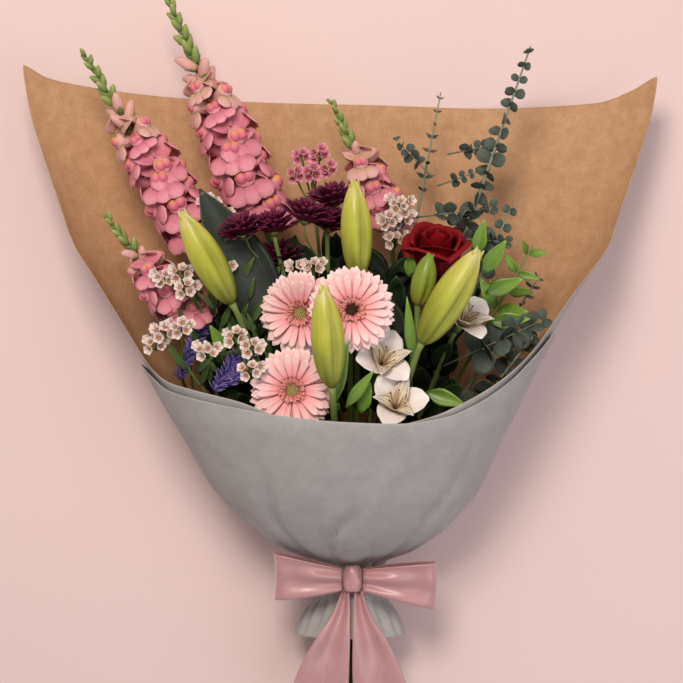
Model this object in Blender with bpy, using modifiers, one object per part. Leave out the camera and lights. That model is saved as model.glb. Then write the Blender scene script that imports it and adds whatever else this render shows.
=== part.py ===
"""Mixed flower bouquet in a paper wrap with a satin bow, lying on its back.

Millimetres below, turned to metres by MM. X runs across the bouquet, +Y from the cut ends to the
flower tips, +Z up from the surface it lies on. The origin is on the flat rest area of the back sheet.
Every cut stem grew as one piece, so a stem with its own branches, leaves and blooms is one solid.
"""

import math
from dataclasses import dataclass, field

import bmesh
import bpy
from mathutils import Matrix, Vector

MM = 0.001
GAP = 0.4  # between pieces that would touch

# The neck, where everything is bound.
NECK = Vector((9.0, -288.0, 41.0))
SPREAD_FROM = Vector((9.0, -276.0, 41.0))  # above here the stems spread
SLOT_PITCH = 7.3  # between neighbouring stems in the bundle
CUT_LENGTH = 160.0  # of stem below the binding
CUT_UNEVEN = 9.0
CUT_FLARE = 1.05  # how much wider the bundle is at its cut ends
TWINE_RADIUS = 1.2

# The paper.
PAPER = 0.8  # wall thickness
SHEET_CLEARANCE = ((-273, 2.2), (-237, 4.5))  # from the back sheet to the front sheet, along Y
SKIRT_END = -345.0
LEVEL_ROWS = (SKIRT_END, -326.0, -304.0, -289.0, -273.0, -262.0)  # then the rows follow the rim
CORNER = 73.0  # the angle round the neck axis of the back sheet's top corners
TURN = 103.0  # where its free sides come round to the front
FLAP_END = 172.0
RIM_ROWS = 7
FRONT_START = 80.0
# Cross-sections of the wrap along Y: half width, top and bottom height.
HALF_WIDTH = ((-345, 56), (-326, 47), (-304, 34), (-273, 34), (-256, 64), (-237, 89), (-211, 115),
              (-188, 132), (-147, 151), (-95, 178), (-62, 195), (-15, 222), (25, 247), (56, 268),
              (102, 288), (154, 310), (195, 326), (242, 338))
TOP = ((-345, 86), (-326, 81), (-304, 75), (-273, 75), (-256, 110), (-237, 144), (-211, 174),
       (-188, 195), (-147, 225), (-116, 243), (-62, 254), (-15, 258), (242, 258))
BOTTOM = ((-345, 2), (-326, 5), (-304, 7), (-273, 7), (-256, 4), (-211, -1), (-147, -4), (242, -4))
CENTRE = ((-345, 9), (-256, 9), (-147, 2), (-62, -1), (242, 0))
ROUNDNESS = ((-345, 2.0), (-256, 2.0), (-188, 2.5), (242, 2.6))  # 2 is an ellipse, more is boxier
# Rims: the angle from the back, then Y.
RIM_RIGHT = ((0, 212), (25, 207), (50, 209), (62, 219), (73, 230), (76, 190), (80, 138), (86, 78),
             (94, 38), (103, 8), (111, -46), (120, -70), (137, -97), (150, -112), (172, -126))
RIM_LEFT = ((0, 212), (25, 218), (50, 227), (62, 232), (73, 242), (76, 195), (80, 135), (86, 70),
            (94, 2), (103, -62), (115, -80), (130, -88), (147, -98), (160, -113), (172, -126))
RIM_FRONT = ((80, -66), (95, -48), (103, -34), (111, -54), (120, -77), (137, -104), (145, -112),
             (162, -118), (180, -116), (195, -112), (213, -104), (230, -96), (245, -88), (257, -72),
             (268, -64), (280, -74))

# The satin ribbon.
RIBBON = 0.8
BAND_INNER = 37.4
BAND_WIDTH = 25.0
KNOT = Vector((11.0, -283.0, 89.0))
KNOT_SIZE = Vector((21.0, 27.0, 17.0))
LOOP_LENGTHS = {"left": -74.0, "right": 84.0}
LOOP_DEPTH = 15.0
LOOP_HALF_WIDTHS = (8.0, 25.0)  # at the knot and at the outer end
LOOP_SLOPE = 0.42  # the loops lean back on the bowl of the paper
TAIL_PATH = ((-299, 84.0), (-318, 86.5), (-345, 91.5), (-372, 87.0), (-400, 80.5), (-428, 77.5))
TAIL_SIDES = {  # left and right edge along the path
    "left": ((-1, 8), (-9, 9), (-27, 9), (-42, 8), (-52, 7), (-60, 4)),
    "right": ((13, 22), (12, 29), (12, 46), (11, 59), (12, 69), (15, 77)),
}

# Sections along a head: distance from its base, radius.
GERBERA = ((0, 3.2), (4, 10), (8, 27), (10, 40), (14, 41), (15.5, 17), (19, 13), (21, 6))
ROSE = ((0, 5), (6, 13), (16, 26), (30, 32), (46, 32), (58, 27), (64, 20), (66, 7))
DAISY = ((0, 2.6), (3, 8), (12, 15), (21, 19), (25, 17), (26, 7))
TRUMPET = ((0, 2.4), (6, 6), (20, 11), (32, 21), (37, 23), (39, 9))
WAX_BELL = ((0, 1.4), (6, 8), (9, 6))
SPRAY_BUD = ((0, 1.4), (9, 7), (13, 4))
BRUSH = ((0, 1.6), (6, 8), (24, 9.5), (40, 3))
LILY = ((0.0, 0.22), (0.06, 0.5), (0.28, 0.9), (0.5, 1.0), (0.75, 0.78), (0.92, 0.4), (1.0, 0.08))

COLOURS = {
    "paper": (0.42, 0.28, 0.16), "front_paper": (0.55, 0.56, 0.57), "satin": (0.55, 0.30, 0.32),
    "twine": (0.45, 0.36, 0.22), "snapdragon": (0.78, 0.25, 0.33), "gerbera": (0.9, 0.5, 0.52),
    "lily": (0.45, 0.5, 0.08), "rose": (0.3, 0.0, 0.01), "alstroemeria": (0.85, 0.8, 0.76),
    "chrysanthemum": (0.2, 0.01, 0.06), "spray": (0.8, 0.3, 0.42), "waxflower": (0.8, 0.68, 0.62),
    "statice": (0.27, 0.2, 0.6), "eucalyptus": (0.14, 0.19, 0.15), "ruscus": (0.16, 0.3, 0.04),
    "leaf": (0.03, 0.07, 0.03),
}


@dataclass
class Head:
    """A bloom, a bud or a spike: it starts at base and points along axis."""

    base: tuple
    axis: tuple
    sections: tuple
    branch_radius: float = 1.5
    fork: float = 0.78  # where along the main stem its branch leaves
    sides: int = 8


@dataclass
class Leaf:
    """A thin blade from base to tip. It joins the stem where fork says, or lies on the stem itself."""

    base: tuple
    tip: tuple
    half_width: float
    facing: tuple = (0.0, 0.0, 1.0)
    fork: float = None


@dataclass
class Stem:
    name: str
    colour: str
    radius: float
    heads: list
    leaves: list = field(default_factory=list)
    bend: float = 22.0  # how long the stem takes to turn towards its first head


# --------------------------------------------------------------------------- small maths


def curve_through(stations, x):
    """A smooth value at x through (x, value) stations, without overshooting between them."""
    last = len(stations) - 1
    if x <= stations[0][0]:
        return float(stations[0][1])
    if x >= stations[last][0]:
        return float(stations[last][1])
    slopes = [(b[1] - a[1]) / (b[0] - a[0]) for a, b in zip(stations, stations[1:])]

    def tangent(i):
        if i in (0, last) or slopes[i - 1] * slopes[i] <= 0:
            return slopes[min(i, last - 1)] if i in (0, last) else 0.0
        return 2 * slopes[i - 1] * slopes[i] / (slopes[i - 1] + slopes[i])

    i = next(n for n in range(last) if x <= stations[n + 1][0])
    (x0, y0), (x1, y1) = stations[i], stations[i + 1]
    t, span = (x - x0) / (x1 - x0), x1 - x0
    rise = y0 * (1 - 3 * t**2 + 2 * t**3) + y1 * (3 * t**2 - 2 * t**3)
    return rise + span * (tangent(i) * (t - 2 * t**2 + t**3) + tangent(i + 1) * (t**3 - t**2))


def bezier(a, b, c, d, t):
    s = 1 - t
    return a * s**3 + b * 3 * s**2 * t + c * 3 * s * t**2 + d * t**3


def spaced(start, end, count):
    return [start + (end - start) * i / (count - 1) for i in range(count)]


# --------------------------------------------------------------------------- scene helpers


def clear_scene():
    for ob in list(bpy.data.objects):
        bpy.data.objects.remove(ob, do_unlink=True)


def new_collection(name):
    collection = bpy.data.collections.new(name)
    bpy.context.scene.collection.children.link(collection)
    return collection


def material(name):
    found = bpy.data.materials.get(name)
    if found:
        return found
    made = bpy.data.materials.new(name)
    made.use_nodes = True
    shader = made.node_tree.nodes["Principled BSDF"]
    shader.inputs["Base Color"].default_value = (*COLOURS[name], 1.0)
    shader.inputs["Roughness"].default_value = 0.35 if name == "satin" else 0.6
    shader.inputs["Metallic"].default_value = 0.0
    return made


def keep(name, mesh, colour):
    """Puts a finished mesh in the bouquet's collection as a sub-part."""
    mesh.materials.clear()
    mesh.materials.append(material(colour))
    ob = bpy.data.objects.new(name, mesh)
    BOUQUET.objects.link(ob)
    return ob


def evaluated_mesh(ob):
    bpy.context.view_layer.update()
    depsgraph = bpy.context.evaluated_depsgraph_get()
    return bpy.data.meshes.new_from_object(ob.evaluated_get(depsgraph))


def drop(ob):
    bpy.data.objects.remove(ob, do_unlink=True)


# --------------------------------------------------------------------------- stems and heads


def tube(points, radii, sides):
    """A closed tube through points in mm, as a mesh object with its caps welded."""
    data = bpy.data.curves.new("limb", "CURVE")
    data.dimensions = "3D"
    data.bevel_depth = MM
    data.bevel_resolution = (sides - 4) // 2
    data.use_fill_caps = True
    data.render_resolution_u = 0
    spline = data.splines.new("POLY")
    spline.points.add(len(points) - 1)
    for spot, co, radius in zip(spline.points, points, radii):
        spot.co = (*(Vector(co) * MM), 1.0)
        spot.radius = radius
    ob = bpy.data.objects.new("limb", data)
    BOUQUET.objects.link(ob)
    mesh = evaluated_mesh(ob)
    drop(ob)
    weld(mesh)
    return guide(mesh)


def weld(mesh):
    bm = bmesh.new()
    bm.from_mesh(mesh)
    bmesh.ops.remove_doubles(bm, verts=bm.verts, dist=1e-6)
    bmesh.ops.recalc_face_normals(bm, faces=bm.faces)
    bm.to_mesh(mesh)
    bm.free()


def guide(mesh):
    ob = bpy.data.objects.new("guide", mesh)
    ob.hide_render = True
    ob.display_type = "WIRE"
    GUIDES.objects.link(ob)
    return ob


def blade(leaf):
    """A leaf as a thin lens from a squashed sphere."""
    base, tip = Vector(leaf.base), Vector(leaf.tip)
    along = (tip - base).normalized()
    across = along.cross(Vector(leaf.facing)).normalized()
    frame = Matrix((across, along, across.cross(along))).transposed().to_4x4()
    mesh = bpy.data.meshes.new("blade")
    bm = bmesh.new()
    bmesh.ops.create_uvsphere(bm, u_segments=6, v_segments=3, radius=MM)
    thickness = max(1.2, 0.08 * leaf.half_width)
    turn = Matrix.Rotation(math.radians(90), 4, "X")
    size = Matrix.Diagonal((leaf.half_width, (tip - base).length / 2, thickness, 1.0))
    place = Matrix.Translation((base + tip) / 2 * MM) @ frame @ size @ turn
    bmesh.ops.transform(bm, matrix=place, verts=bm.verts)
    bmesh.ops.recalc_face_normals(bm, faces=bm.faces)
    bm.to_mesh(mesh)
    bm.free()
    return guide(mesh)


def stem_path(slot, stem):
    """The main stem from its cut end, through its slot in the binding, to its first head."""
    head = stem.heads[0]
    base, axis = Vector(head.base), Vector(head.axis).normalized()
    away = slot.xz_offset * CUT_FLARE
    uneven = CUT_UNEVEN * math.sin(7.3 * slot.index)
    cut = NECK + Vector((away.x, -CUT_LENGTH + uneven, away.z))
    tied = SPREAD_FROM + slot.xz_offset
    straight = (base - tied).normalized()
    reach = (base - tied).length
    lift = [bezier(tied, tied + straight * reach * 0.4, base - axis * stem.bend, base, t)
            for t in (0.32, 0.63, 0.86, 1.0)]
    return [cut, tied] + lift


def point_along(path, share):
    """A point on the path above the binding, at a share of the way to the head."""
    above = path[1:]
    place = share * (len(above) - 1)
    i = min(int(place), len(above) - 2)
    return above[i].lerp(above[i + 1], place - i)


def head_run(head):
    base, axis = Vector(head.base), Vector(head.axis).normalized()
    return [base + axis * s for s, _ in head.sections], [r for _, r in head.sections]


def branch(path, head):
    """A side branch with its head, from inside the main stem."""
    root = point_along(path, head.fork)
    base, axis = Vector(head.base), Vector(head.axis).normalized()
    reach = (base - root).length
    run = [bezier(root, root.lerp(base, 0.4), base - axis * reach * 0.3, base, t)
           for t in (0.0, 0.5)]
    places, radii = head_run(head)
    return tube(run + places, [head.branch_radius] * len(run) + radii, head.sides)


def leaf_limbs(path, leaf):
    """A leaf's blade, and its stalk where it stands away from the stem."""
    limbs = [blade(leaf)]
    if leaf.fork is not None:
        base = Vector(leaf.base)
        inside = base.lerp(Vector(leaf.tip), 0.12)
        limbs.append(tube([point_along(path, leaf.fork), inside], [1.1, 1.1], 6))
    return limbs


def union(limbs):
    """Joins overlapping limbs into one body."""
    body = limbs[0]
    for limb in limbs[1:]:
        cut = body.modifiers.new("join", "BOOLEAN")
        cut.operation = "UNION"
        cut.solver = "EXACT"
        cut.object = limb
        joined = evaluated_mesh(body)
        drop(limb)
        drop(body)
        body = guide(joined)
    mesh = body.data.copy()
    drop(body)
    weld(mesh)
    return mesh


def grow(stem, slot):
    path = stem_path(slot, stem)
    head = stem.heads[0]
    places, radii = head_run(head)
    limbs = [tube(path[:-1] + places, [stem.radius] * (len(path) - 1) + radii, head.sides)]
    limbs += [branch(path, other) for other in stem.heads[1:]]
    for leaf in stem.leaves:
        limbs += leaf_limbs(path, leaf)
    ob = keep(stem.name, union(limbs), stem.colour)
    ob.data.shade_smooth()
    return ob


@dataclass
class Slot:
    """A stem's place in the bound bundle, as an offset from the neck's centre."""

    index: int
    xz_offset: Vector


def bundle_slots(stems):
    """Hexagonally packed slots. Rows fill from the back to the front by how far a stem leans
    forward, and each row from left to right, so that no two stems cross."""
    lattice = []
    for row in range(-5, 6):
        for column in range(-6, 7):
            x = (column + (row % 2) / 2) * SLOT_PITCH
            z = row * SLOT_PITCH * math.sqrt(3) / 2
            lattice.append((round(math.hypot(x, z), 3), row, x, z))
    chosen = sorted(lattice)[: len(stems)]
    rows = {}
    for _, row, x, z in chosen:
        rows.setdefault(row, []).append((x, z))

    def lean(stem, axis):
        base = Vector(stem.heads[0].base) - SPREAD_FROM
        return base[axis] / base.y

    order = sorted(stems, key=lambda stem: lean(stem, 2))
    slots = {}
    for row in sorted(rows):
        places = sorted(rows[row])
        taken, order = order[: len(places)], order[len(places):]
        for stem, (x, z) in zip(sorted(taken, key=lambda stem: lean(stem, 0)), places):
            slots[stem.name] = Slot(len(slots), Vector((x, 0.0, z)))
    return slots


# --------------------------------------------------------------------------- paper and ribbon


def wrap_point(angle, y, grown=0.0):
    """A point on the outside of the wrap: angle 0 is the back, on the surface it lies on, 90 the
    right side and 180 the front."""
    power = 2.0 / curve_through(ROUNDNESS, y)
    top = curve_through(TOP, y) + grown
    bottom = curve_through(BOTTOM, y) - grown
    sine, cosine = math.sin(math.radians(angle)), math.cos(math.radians(angle))
    if cosine < 0:
        power = 1.0  # the front is a plain half ellipse
    wide = (curve_through(HALF_WIDTH, y) + grown) * math.copysign(abs(sine) ** power, sine)
    deep = (top - bottom) / 2 * math.copysign(abs(cosine) ** power, cosine)
    return Vector((curve_through(CENTRE, y) + wide, y, max(0.0, (top + bottom) / 2 - deep)))


def sheet_grid(angles, rim, clearance):
    """A sheet of paper as an open grid: columns at the angles, rows from the skirt to the rim."""
    shares = spaced(0.0, 1.0, RIM_ROWS + 1)[1:]
    bm = bmesh.new()
    columns, rows = len(angles) - 1, len(LEVEL_ROWS) + len(shares) - 1
    bmesh.ops.create_grid(bm, x_segments=columns, y_segments=rows, size=0.5)
    for vert in bm.verts:
        angle = angles[round((vert.co.x + 0.5) * columns)]
        row = round((vert.co.y + 0.5) * rows)
        y = LEVEL_ROWS[min(row, len(LEVEL_ROWS) - 1)]
        if row >= len(LEVEL_ROWS):
            y += (rim(angle) - y) * shares[row - len(LEVEL_ROWS)]
        vert.co = wrap_point(angle, y, curve_through(clearance, y)) * MM
    return bm


def paper_sheet(name, bm, colour):
    """Gives a sheet its thickness, inwards from the outer surface."""
    bm.normal_update()
    lowest = min(bm.faces, key=lambda face: face.calc_center_median().z)
    if lowest.normal.z > 0:
        bmesh.ops.reverse_faces(bm, faces=bm.faces)
    mesh = bpy.data.meshes.new(name)
    bm.to_mesh(mesh)
    bm.free()
    ob = keep(name, mesh, colour)
    wall = ob.modifiers.new("paper", "SOLIDIFY")
    wall.thickness = PAPER * MM
    wall.offset = -1.0
    ob.data.shade_smooth()
    return ob


def make_back_sheet():
    half = spaced(0, CORNER, 7) + spaced(CORNER, TURN, 6)[1:] + spaced(TURN, FLAP_END, 6)[1:]
    angles = [-a for a in reversed(half[1:])] + half

    def rim(angle):
        return curve_through(RIM_RIGHT if angle > 0 else RIM_LEFT, abs(angle))

    paper_sheet("back_sheet", sheet_grid(angles, rim, ((0, 0), (1, 0))), "paper")


def make_front_sheet():
    angles = spaced(FRONT_START, 360 - FRONT_START, 17)
    bm = sheet_grid(angles, lambda angle: curve_through(RIM_FRONT, angle), SHEET_CLEARANCE)
    for vert in bm.verts:
        vert.co.z = max(vert.co.z, 0.0)
    paper_sheet("front_sheet", bm, "front_paper")


def make_twine(bundle_radius):
    """Two turns of twine would be one ring at this size: a ring round the whole bundle."""
    bpy.ops.mesh.primitive_torus_add(
        major_radius=(bundle_radius + TWINE_RADIUS + GAP) * MM, minor_radius=TWINE_RADIUS * MM,
        major_segments=28, minor_segments=6, location=NECK * MM,
        rotation=(math.radians(90), 0, 0))
    ring = bpy.context.object
    mesh = ring.data.copy()
    mesh.transform(ring.matrix_world)
    drop(ring)
    keep("binding_twine", mesh, "twine")


def make_band():
    """The ribbon's turn round the neck: a strip spun about the neck's axis."""
    bm = bmesh.new()
    low = bm.verts.new((NECK + Vector((BAND_INNER, -BAND_WIDTH / 2, 0))) * MM)
    high = bm.verts.new((NECK + Vector((BAND_INNER, BAND_WIDTH / 2, 0))) * MM)
    strip = bm.edges.new((low, high))
    bmesh.ops.spin(bm, geom=[low, high, strip], cent=NECK * MM, axis=(0, 1, 0),
                   angle=math.tau, steps=28, use_merge=True)
    bmesh.ops.remove_doubles(bm, verts=bm.verts, dist=1e-6)
    bm.normal_update()
    outward = bm.faces[:][0]
    if outward.normal.dot(outward.calc_center_median() - NECK * MM) < 0:
        bmesh.ops.reverse_faces(bm, faces=bm.faces)
    mesh = bpy.data.meshes.new("ribbon_band")
    bm.to_mesh(mesh)
    bm.free()
    ob = keep("ribbon_band", mesh, "satin")
    wall = ob.modifiers.new("satin", "SOLIDIFY")
    wall.thickness = RIBBON * MM
    wall.offset = 1.0


def make_knot():
    mesh = bpy.data.meshes.new("bow_knot")
    bm = bmesh.new()
    bmesh.ops.create_cube(bm, size=1.0)
    place = Matrix.Translation(KNOT * MM) @ Matrix.Diagonal((*(KNOT_SIZE * MM), 1.0))
    bmesh.ops.transform(bm, matrix=place, verts=bm.verts)
    bmesh.ops.bevel(bm, geom=bm.edges[:], offset=4 * MM, segments=2, profile=0.5, material=-1,
                    affect="EDGES")
    bm.to_mesh(mesh)
    bm.free()
    keep("bow_knot", mesh, "satin")


def ribbon_strip(name, rows):
    """A strip of ribbon through rows of (left, right) edge points, with its thickness."""
    bm = bmesh.new()
    across = 2
    bmesh.ops.create_grid(bm, x_segments=across, y_segments=len(rows) - 1, size=0.5)
    for vert in bm.verts:
        left, right = rows[round((vert.co.y + 0.5) * (len(rows) - 1))]
        vert.co = left.lerp(right, vert.co.x + 0.5) * MM
    mesh = bpy.data.meshes.new(name)
    bm.to_mesh(mesh)
    bm.free()
    ob = keep(name, mesh, "satin")
    wall = ob.modifiers.new("satin", "SOLIDIFY")
    wall.thickness = RIBBON * MM
    wall.offset = 0.0


def make_loop(side, length):
    """A bow loop: out from the knot over the top, round, and back underneath."""
    start = KNOT.x + math.copysign(KNOT_SIZE.x / 2 + 2 * GAP, length)
    reach = abs(length) - KNOT_SIZE.x / 2
    rows = []
    for turn in spaced(0.06, 0.94, 15):
        out = math.sin(math.pi * turn)
        x = start + math.copysign(reach * (out - 0.18) / 0.82, length)
        half = LOOP_HALF_WIDTHS[0] + (LOOP_HALF_WIDTHS[1] - LOOP_HALF_WIDTHS[0]) * out**1.5
        z = KNOT.z + 6 + LOOP_DEPTH * math.sin(math.tau * turn)
        rows.append([Vector((x, KNOT.y + edge, z + LOOP_SLOPE * edge)) for edge in (half, -half)])
    ribbon_strip(f"bow_loop_{side}", rows)


def make_tail(side, edges):
    rows = [[Vector((x, y, z)) for x in pair] for (y, z), pair in zip(TAIL_PATH, edges)]
    ribbon_strip(f"bow_tail_{side}", rows)


# --------------------------------------------------------------------------- the flowers


def towards(base, tip):
    return tuple(b - a for a, b in zip(base, tip))


def spike(base, tip, widest, tiers=7):
    """A snapdragon's flower spike: tiers of florets that get smaller up to the green tip."""
    length = Vector(towards(base, tip)).length
    sections = [(0.0, widest * 0.35)]
    for i in range(2 * tiers):
        share = (i + 1) / (2 * tiers)
        radius = 5.0 + (widest - 5.0) * (1 - share) ** 0.7
        sections.append((share * length, radius * (0.82 if i % 2 else 1.0)))
    return Head(base, towards(base, tip), tuple(sections))


def lily_bud(base, tip, half_width, **how):
    length = Vector(towards(base, tip)).length
    sections = tuple((s * length, r * half_width) for s, r in LILY)
    return Head(base, towards(base, tip), sections, **how)


def sprig_of(name, colour, radius, tops, kind, axis=(0.0, 0.5, 1.0), leaves=(), forks=(0.72, 0.9)):
    """A branching spray: the first top ends the main stem, the others branch off below it."""
    heads = [Head(tops[0], axis, kind, sides=6)]
    for i, top in enumerate(tops[1:]):
        share = forks[0] + (forks[1] - forks[0]) * i / max(1, len(tops) - 2)
        heads.append(Head(top, axis, kind, branch_radius=1.0, fork=share, sides=6))
    return Stem(name, colour, radius, heads, list(leaves), bend=20.0)


def leafy(name, colour, radius, tip, pairs, half_width, length, first, bend=60.0):
    """A foliage stem: leaf pairs along its upper part, turned to face up."""
    base = Vector(tip)
    lower = SPREAD_FROM.lerp(base, first)
    axis = (base - lower).normalized()
    side = axis.cross(Vector((0, 0, 1))).normalized()
    leaves = []
    for i in range(pairs):
        share = (i + 0.3) / pairs
        spot = lower.lerp(base, share)
        size = 1.0 - 0.55 * share
        for hand in (-1, 1):
            reach = (axis * 0.35 + side * hand).normalized() * length * size
            leaves.append(Leaf(tuple(spot - reach * 0.08), tuple(spot + reach), half_width * size))
    head = Head(tuple(lower), tuple(axis), tuple(
        (s * (base - lower).length, radius * r) for s, r in ((0, 1.0), (0.5, 0.8), (1, 0.45))), sides=6)
    return Stem(name, colour, radius, [head], leaves, bend=bend)


def flower_stems():
    snapdragons = [
        Stem("snapdragon_tall", "snapdragon", 2.9, [spike((-84, 91, 76), (-181, 317, 96), 33, 9)]),
        Stem("snapdragon_outer", "snapdragon", 2.9, [spike((-147, 64, 96), (-263, 254, 108), 31, 8)]),
        Stem("snapdragon_short", "snapdragon", 2.5, [spike((-154, -18, 132), (-236, 87, 142), 24, 5)]),
        Stem("snapdragon_back", "snapdragon", 2.7, [spike((46, 84, 70), (-12, 209, 78), 26, 6)]),
    ]
    gerberas = [
        Stem("gerbera_left", "gerbera", 2.8, [Head((-36, -13, 178), (-0.28, -0.12, 0.95), GERBERA, sides=12)]),
        Stem("gerbera_centre", "gerbera", 2.8, [Head((9, -12, 206), (0.05, 0.04, 1), GERBERA, sides=12)]),
        Stem("gerbera_front", "gerbera", 2.8, [Head((-46, -88, 195), (-0.04, 0.02, 1), GERBERA, sides=12)]),
    ]
    lilies = [
        Stem("lily_left", "lily", 3.0, [lily_bud((-105, -5, 184), (-153, 82, 202), 17)]),
        Stem("lily_back", "lily", 3.0, [lily_bud((16, 19, 188), (12, 112, 200), 16)]),
        Stem("lily_front", "lily", 3.0, [lily_bud((-9, -84, 242), (-17, 10, 262), 16.5)]),
        Stem("lily_right", "lily", 3.0, [
            lily_bud((76, -43, 207), (129, 45, 224), 18.5),
            lily_bud((73, -7, 190), (84, 42, 203), 12.5, branch_radius=2.6, fork=0.7)]),
    ]
    large = [
        Stem("rose", "rose", 3.0, [Head((95, 14, 128), (-0.03, 0.85, 0.5), ROSE, sides=12)]),
        Stem("alstroemeria_upper", "alstroemeria", 2.4, [
            Head((35, -69, 177), (0.25, 0.45, 0.86), TRUMPET)]),
        Stem("alstroemeria_lower", "alstroemeria", 2.4, [
            Head((50, -111, 186), (0.1, 0.5, 0.86), TRUMPET)]),
        Stem("alstroemeria_right", "alstroemeria", 2.2, [
            Head((112, -32, 150), (0.4, 0.6, 0.7), TRUMPET)]),
    ]
    sprays = [
        sprig_of("chrysanthemum_left", "chrysanthemum", 2.2,
                 [(-66, 62, 146), (-93, 58, 158), (-60, 34, 118)], DAISY, (-0.1, 0.85, 0.5)),
        sprig_of("chrysanthemum_middle", "chrysanthemum", 2.2,
                 [(-14, 66, 146), (-37, 72, 166), (-8, 90, 140)], DAISY, (0.05, 0.85, 0.5)),
        sprig_of("pink_spray", "spray", 1.8,
                 [(-30, 128, 100), (-46, 127, 98), (-40, 146, 100), (-22, 147, 100), (-13, 132, 100)],
                 SPRAY_BUD, (0.0, 0.4, 1.0), [Leaf((-34, 104, 96), (-52, 124, 92), 7, fork=0.9)]),
    ]
    waxflowers = [
        sprig_of("waxflower_back", "waxflower", 1.5, [(-133, 94, 120), (-119, 84, 120)], WAX_BELL),
        sprig_of("waxflower_left", "waxflower", 1.5,
                 [(-155, 24, 170), (-150, 8, 176), (-172, 18, 166), (-117, 28, 150)], WAX_BELL),
        sprig_of("waxflower_low_left", "waxflower", 1.5,
                 [(-171, -34, 180), (-154, -30, 186), (-178, -50, 174)], WAX_BELL),
        sprig_of("waxflower_right", "waxflower", 1.5,
                 [(58, 94, 118), (46, 77, 124), (61, 80, 112), (54, 60, 116)], WAX_BELL),
        sprig_of("waxflower_middle", "waxflower", 1.5, [(-28, 30, 168), (-42, 26, 160)], WAX_BELL),
        sprig_of("waxflower_front", "waxflower", 1.5,
                 [(-101, -38, 200), (-84, -48, 206), (-128, -52, 200), (-86, -70, 214)], WAX_BELL),
        sprig_of("statice_left", "statice", 1.7, [(-160, -76, 108), (-150, -57, 106)], BRUSH,
                 (0.35, 0.85, 0.1)),
        sprig_of("statice_front", "statice", 1.7, [(-123, -88, 134), (-108, -82, 136)], BRUSH,
                 (0.5, 0.8, 0.1)),
    ]
    foliage = [
        leafy("eucalyptus_tall", "eucalyptus", 2.2, (190, 255, 112), 6, 8, 21, 0.62),
        leafy("eucalyptus_thin", "eucalyptus", 1.5, (103, 217, 56), 4, 3.5, 12, 0.78),
        leafy("eucalyptus_upper", "eucalyptus", 1.8, (172, 96, 112), 4, 8, 17, 0.72),
        leafy("eucalyptus_side", "eucalyptus", 1.8, (200, 26, 112), 4, 5, 18, 0.74),
        leafy("eucalyptus_round", "eucalyptus", 2.2, (192, -33, 146), 5, 10, 22, 0.6),
        leafy("ruscus_right", "ruscus", 1.8, (190, 54, 134), 3, 8, 36, 0.78),
        leafy("ruscus_left", "ruscus", 1.8, (-98, -22, 126), 2, 6, 30, 0.86),
        leafy("fern", "leaf", 1.4, (158, -78, 158), 4, 4, 17, 0.68),
        leafy("filler_left", "leaf", 1.6, (-112, 0, 96), 3, 12, 34, 0.6),
        leafy("filler_middle", "leaf", 1.6, (-14, 40, 104), 3, 12, 34, 0.6),
        leafy("filler_right", "leaf", 1.6, (106, 36, 60), 3, 12, 34, 0.6),
        Stem("dark_leaf", "leaf", 2.2, [
            Head((-60, -26, 146), (-0.55, 0.83, 0.02), ((0, 2.2), (60, 1.2)))],
            [Leaf((-60, -34, 146), (-140, 104, 142), 28)]),
    ]
    return snapdragons + gerberas + lilies + large + sprays + waxflowers + foliage


def main():
    stems = flower_stems()
    slots = bundle_slots(stems)
    for stem in stems:
        grow(stem, slots[stem.name])
    widest = max(slots[stem.name].xz_offset.length + stem.radius for stem in stems)
    make_twine(widest)
    make_back_sheet()
    make_front_sheet()
    make_band()
    make_knot()
    for side, length in LOOP_LENGTHS.items():
        make_loop(side, length)
    for side, edges in TAIL_SIDES.items():
        make_tail(side, edges)


clear_scene()
BOUQUET = new_collection("mixed_flower_bouquet")
GUIDES = new_collection("guides")
main()
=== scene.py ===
"""Looks of a mixed flower bouquet: petals, leaves, kraft paper and a satin bow around the CAD frame.

Millimetres are used inside the classes and turned to metres by MM. X runs across the bouquet, +Y
towards the flower tips and +Z up from the surface that the bouquet lies on.
"""

import logging
import math
import random
from dataclasses import dataclass, field
from enum import Enum
from typing import Any, Callable, ClassVar, Sequence

import bmesh
import bpy
from mathutils import Matrix, Vector


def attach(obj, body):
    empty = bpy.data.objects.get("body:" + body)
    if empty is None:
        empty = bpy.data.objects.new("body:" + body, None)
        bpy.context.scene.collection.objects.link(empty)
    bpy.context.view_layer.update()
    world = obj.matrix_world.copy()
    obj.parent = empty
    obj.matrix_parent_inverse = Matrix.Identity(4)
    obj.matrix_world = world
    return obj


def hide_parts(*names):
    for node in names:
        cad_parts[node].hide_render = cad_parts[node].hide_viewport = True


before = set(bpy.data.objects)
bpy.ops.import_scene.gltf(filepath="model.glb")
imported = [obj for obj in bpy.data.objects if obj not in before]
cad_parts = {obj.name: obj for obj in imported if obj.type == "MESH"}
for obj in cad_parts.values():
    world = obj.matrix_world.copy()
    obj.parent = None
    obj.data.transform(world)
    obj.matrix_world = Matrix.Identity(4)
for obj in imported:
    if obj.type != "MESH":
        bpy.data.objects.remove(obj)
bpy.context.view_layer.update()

LOG = logging.getLogger("bouquet")
MM = 0.001
GOLDEN = math.radians(137.508)  # the turn between one floret and the next round a stem
UP = Vector((0.0, 0.0, 1.0))

NECK = Vector((9.0, -288.0, 41.0))
SPREAD_FROM = Vector((9.0, -276.0, 41.0))  # where the bound stems start to lean apart
SLOT_PITCH = 7.3
CUT_LENGTH = 160.0  # from the neck to the cut ends
CUT_UNEVEN = 9.0
LONG_BEND = 60.0  # the stretch of a spike's or leafy stem that runs along its own tip
CUT_FLARE = 1.05  # how far the bundle opens again at its cut ends
PAPER_WALL = 0.5
PAPER_ROWS = 150
BAND_RADIUS = 38.0
BAND_WIDTH = 25.0

Stations = Sequence[tuple[float, float]]
Point = tuple[float, float, float]


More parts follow.
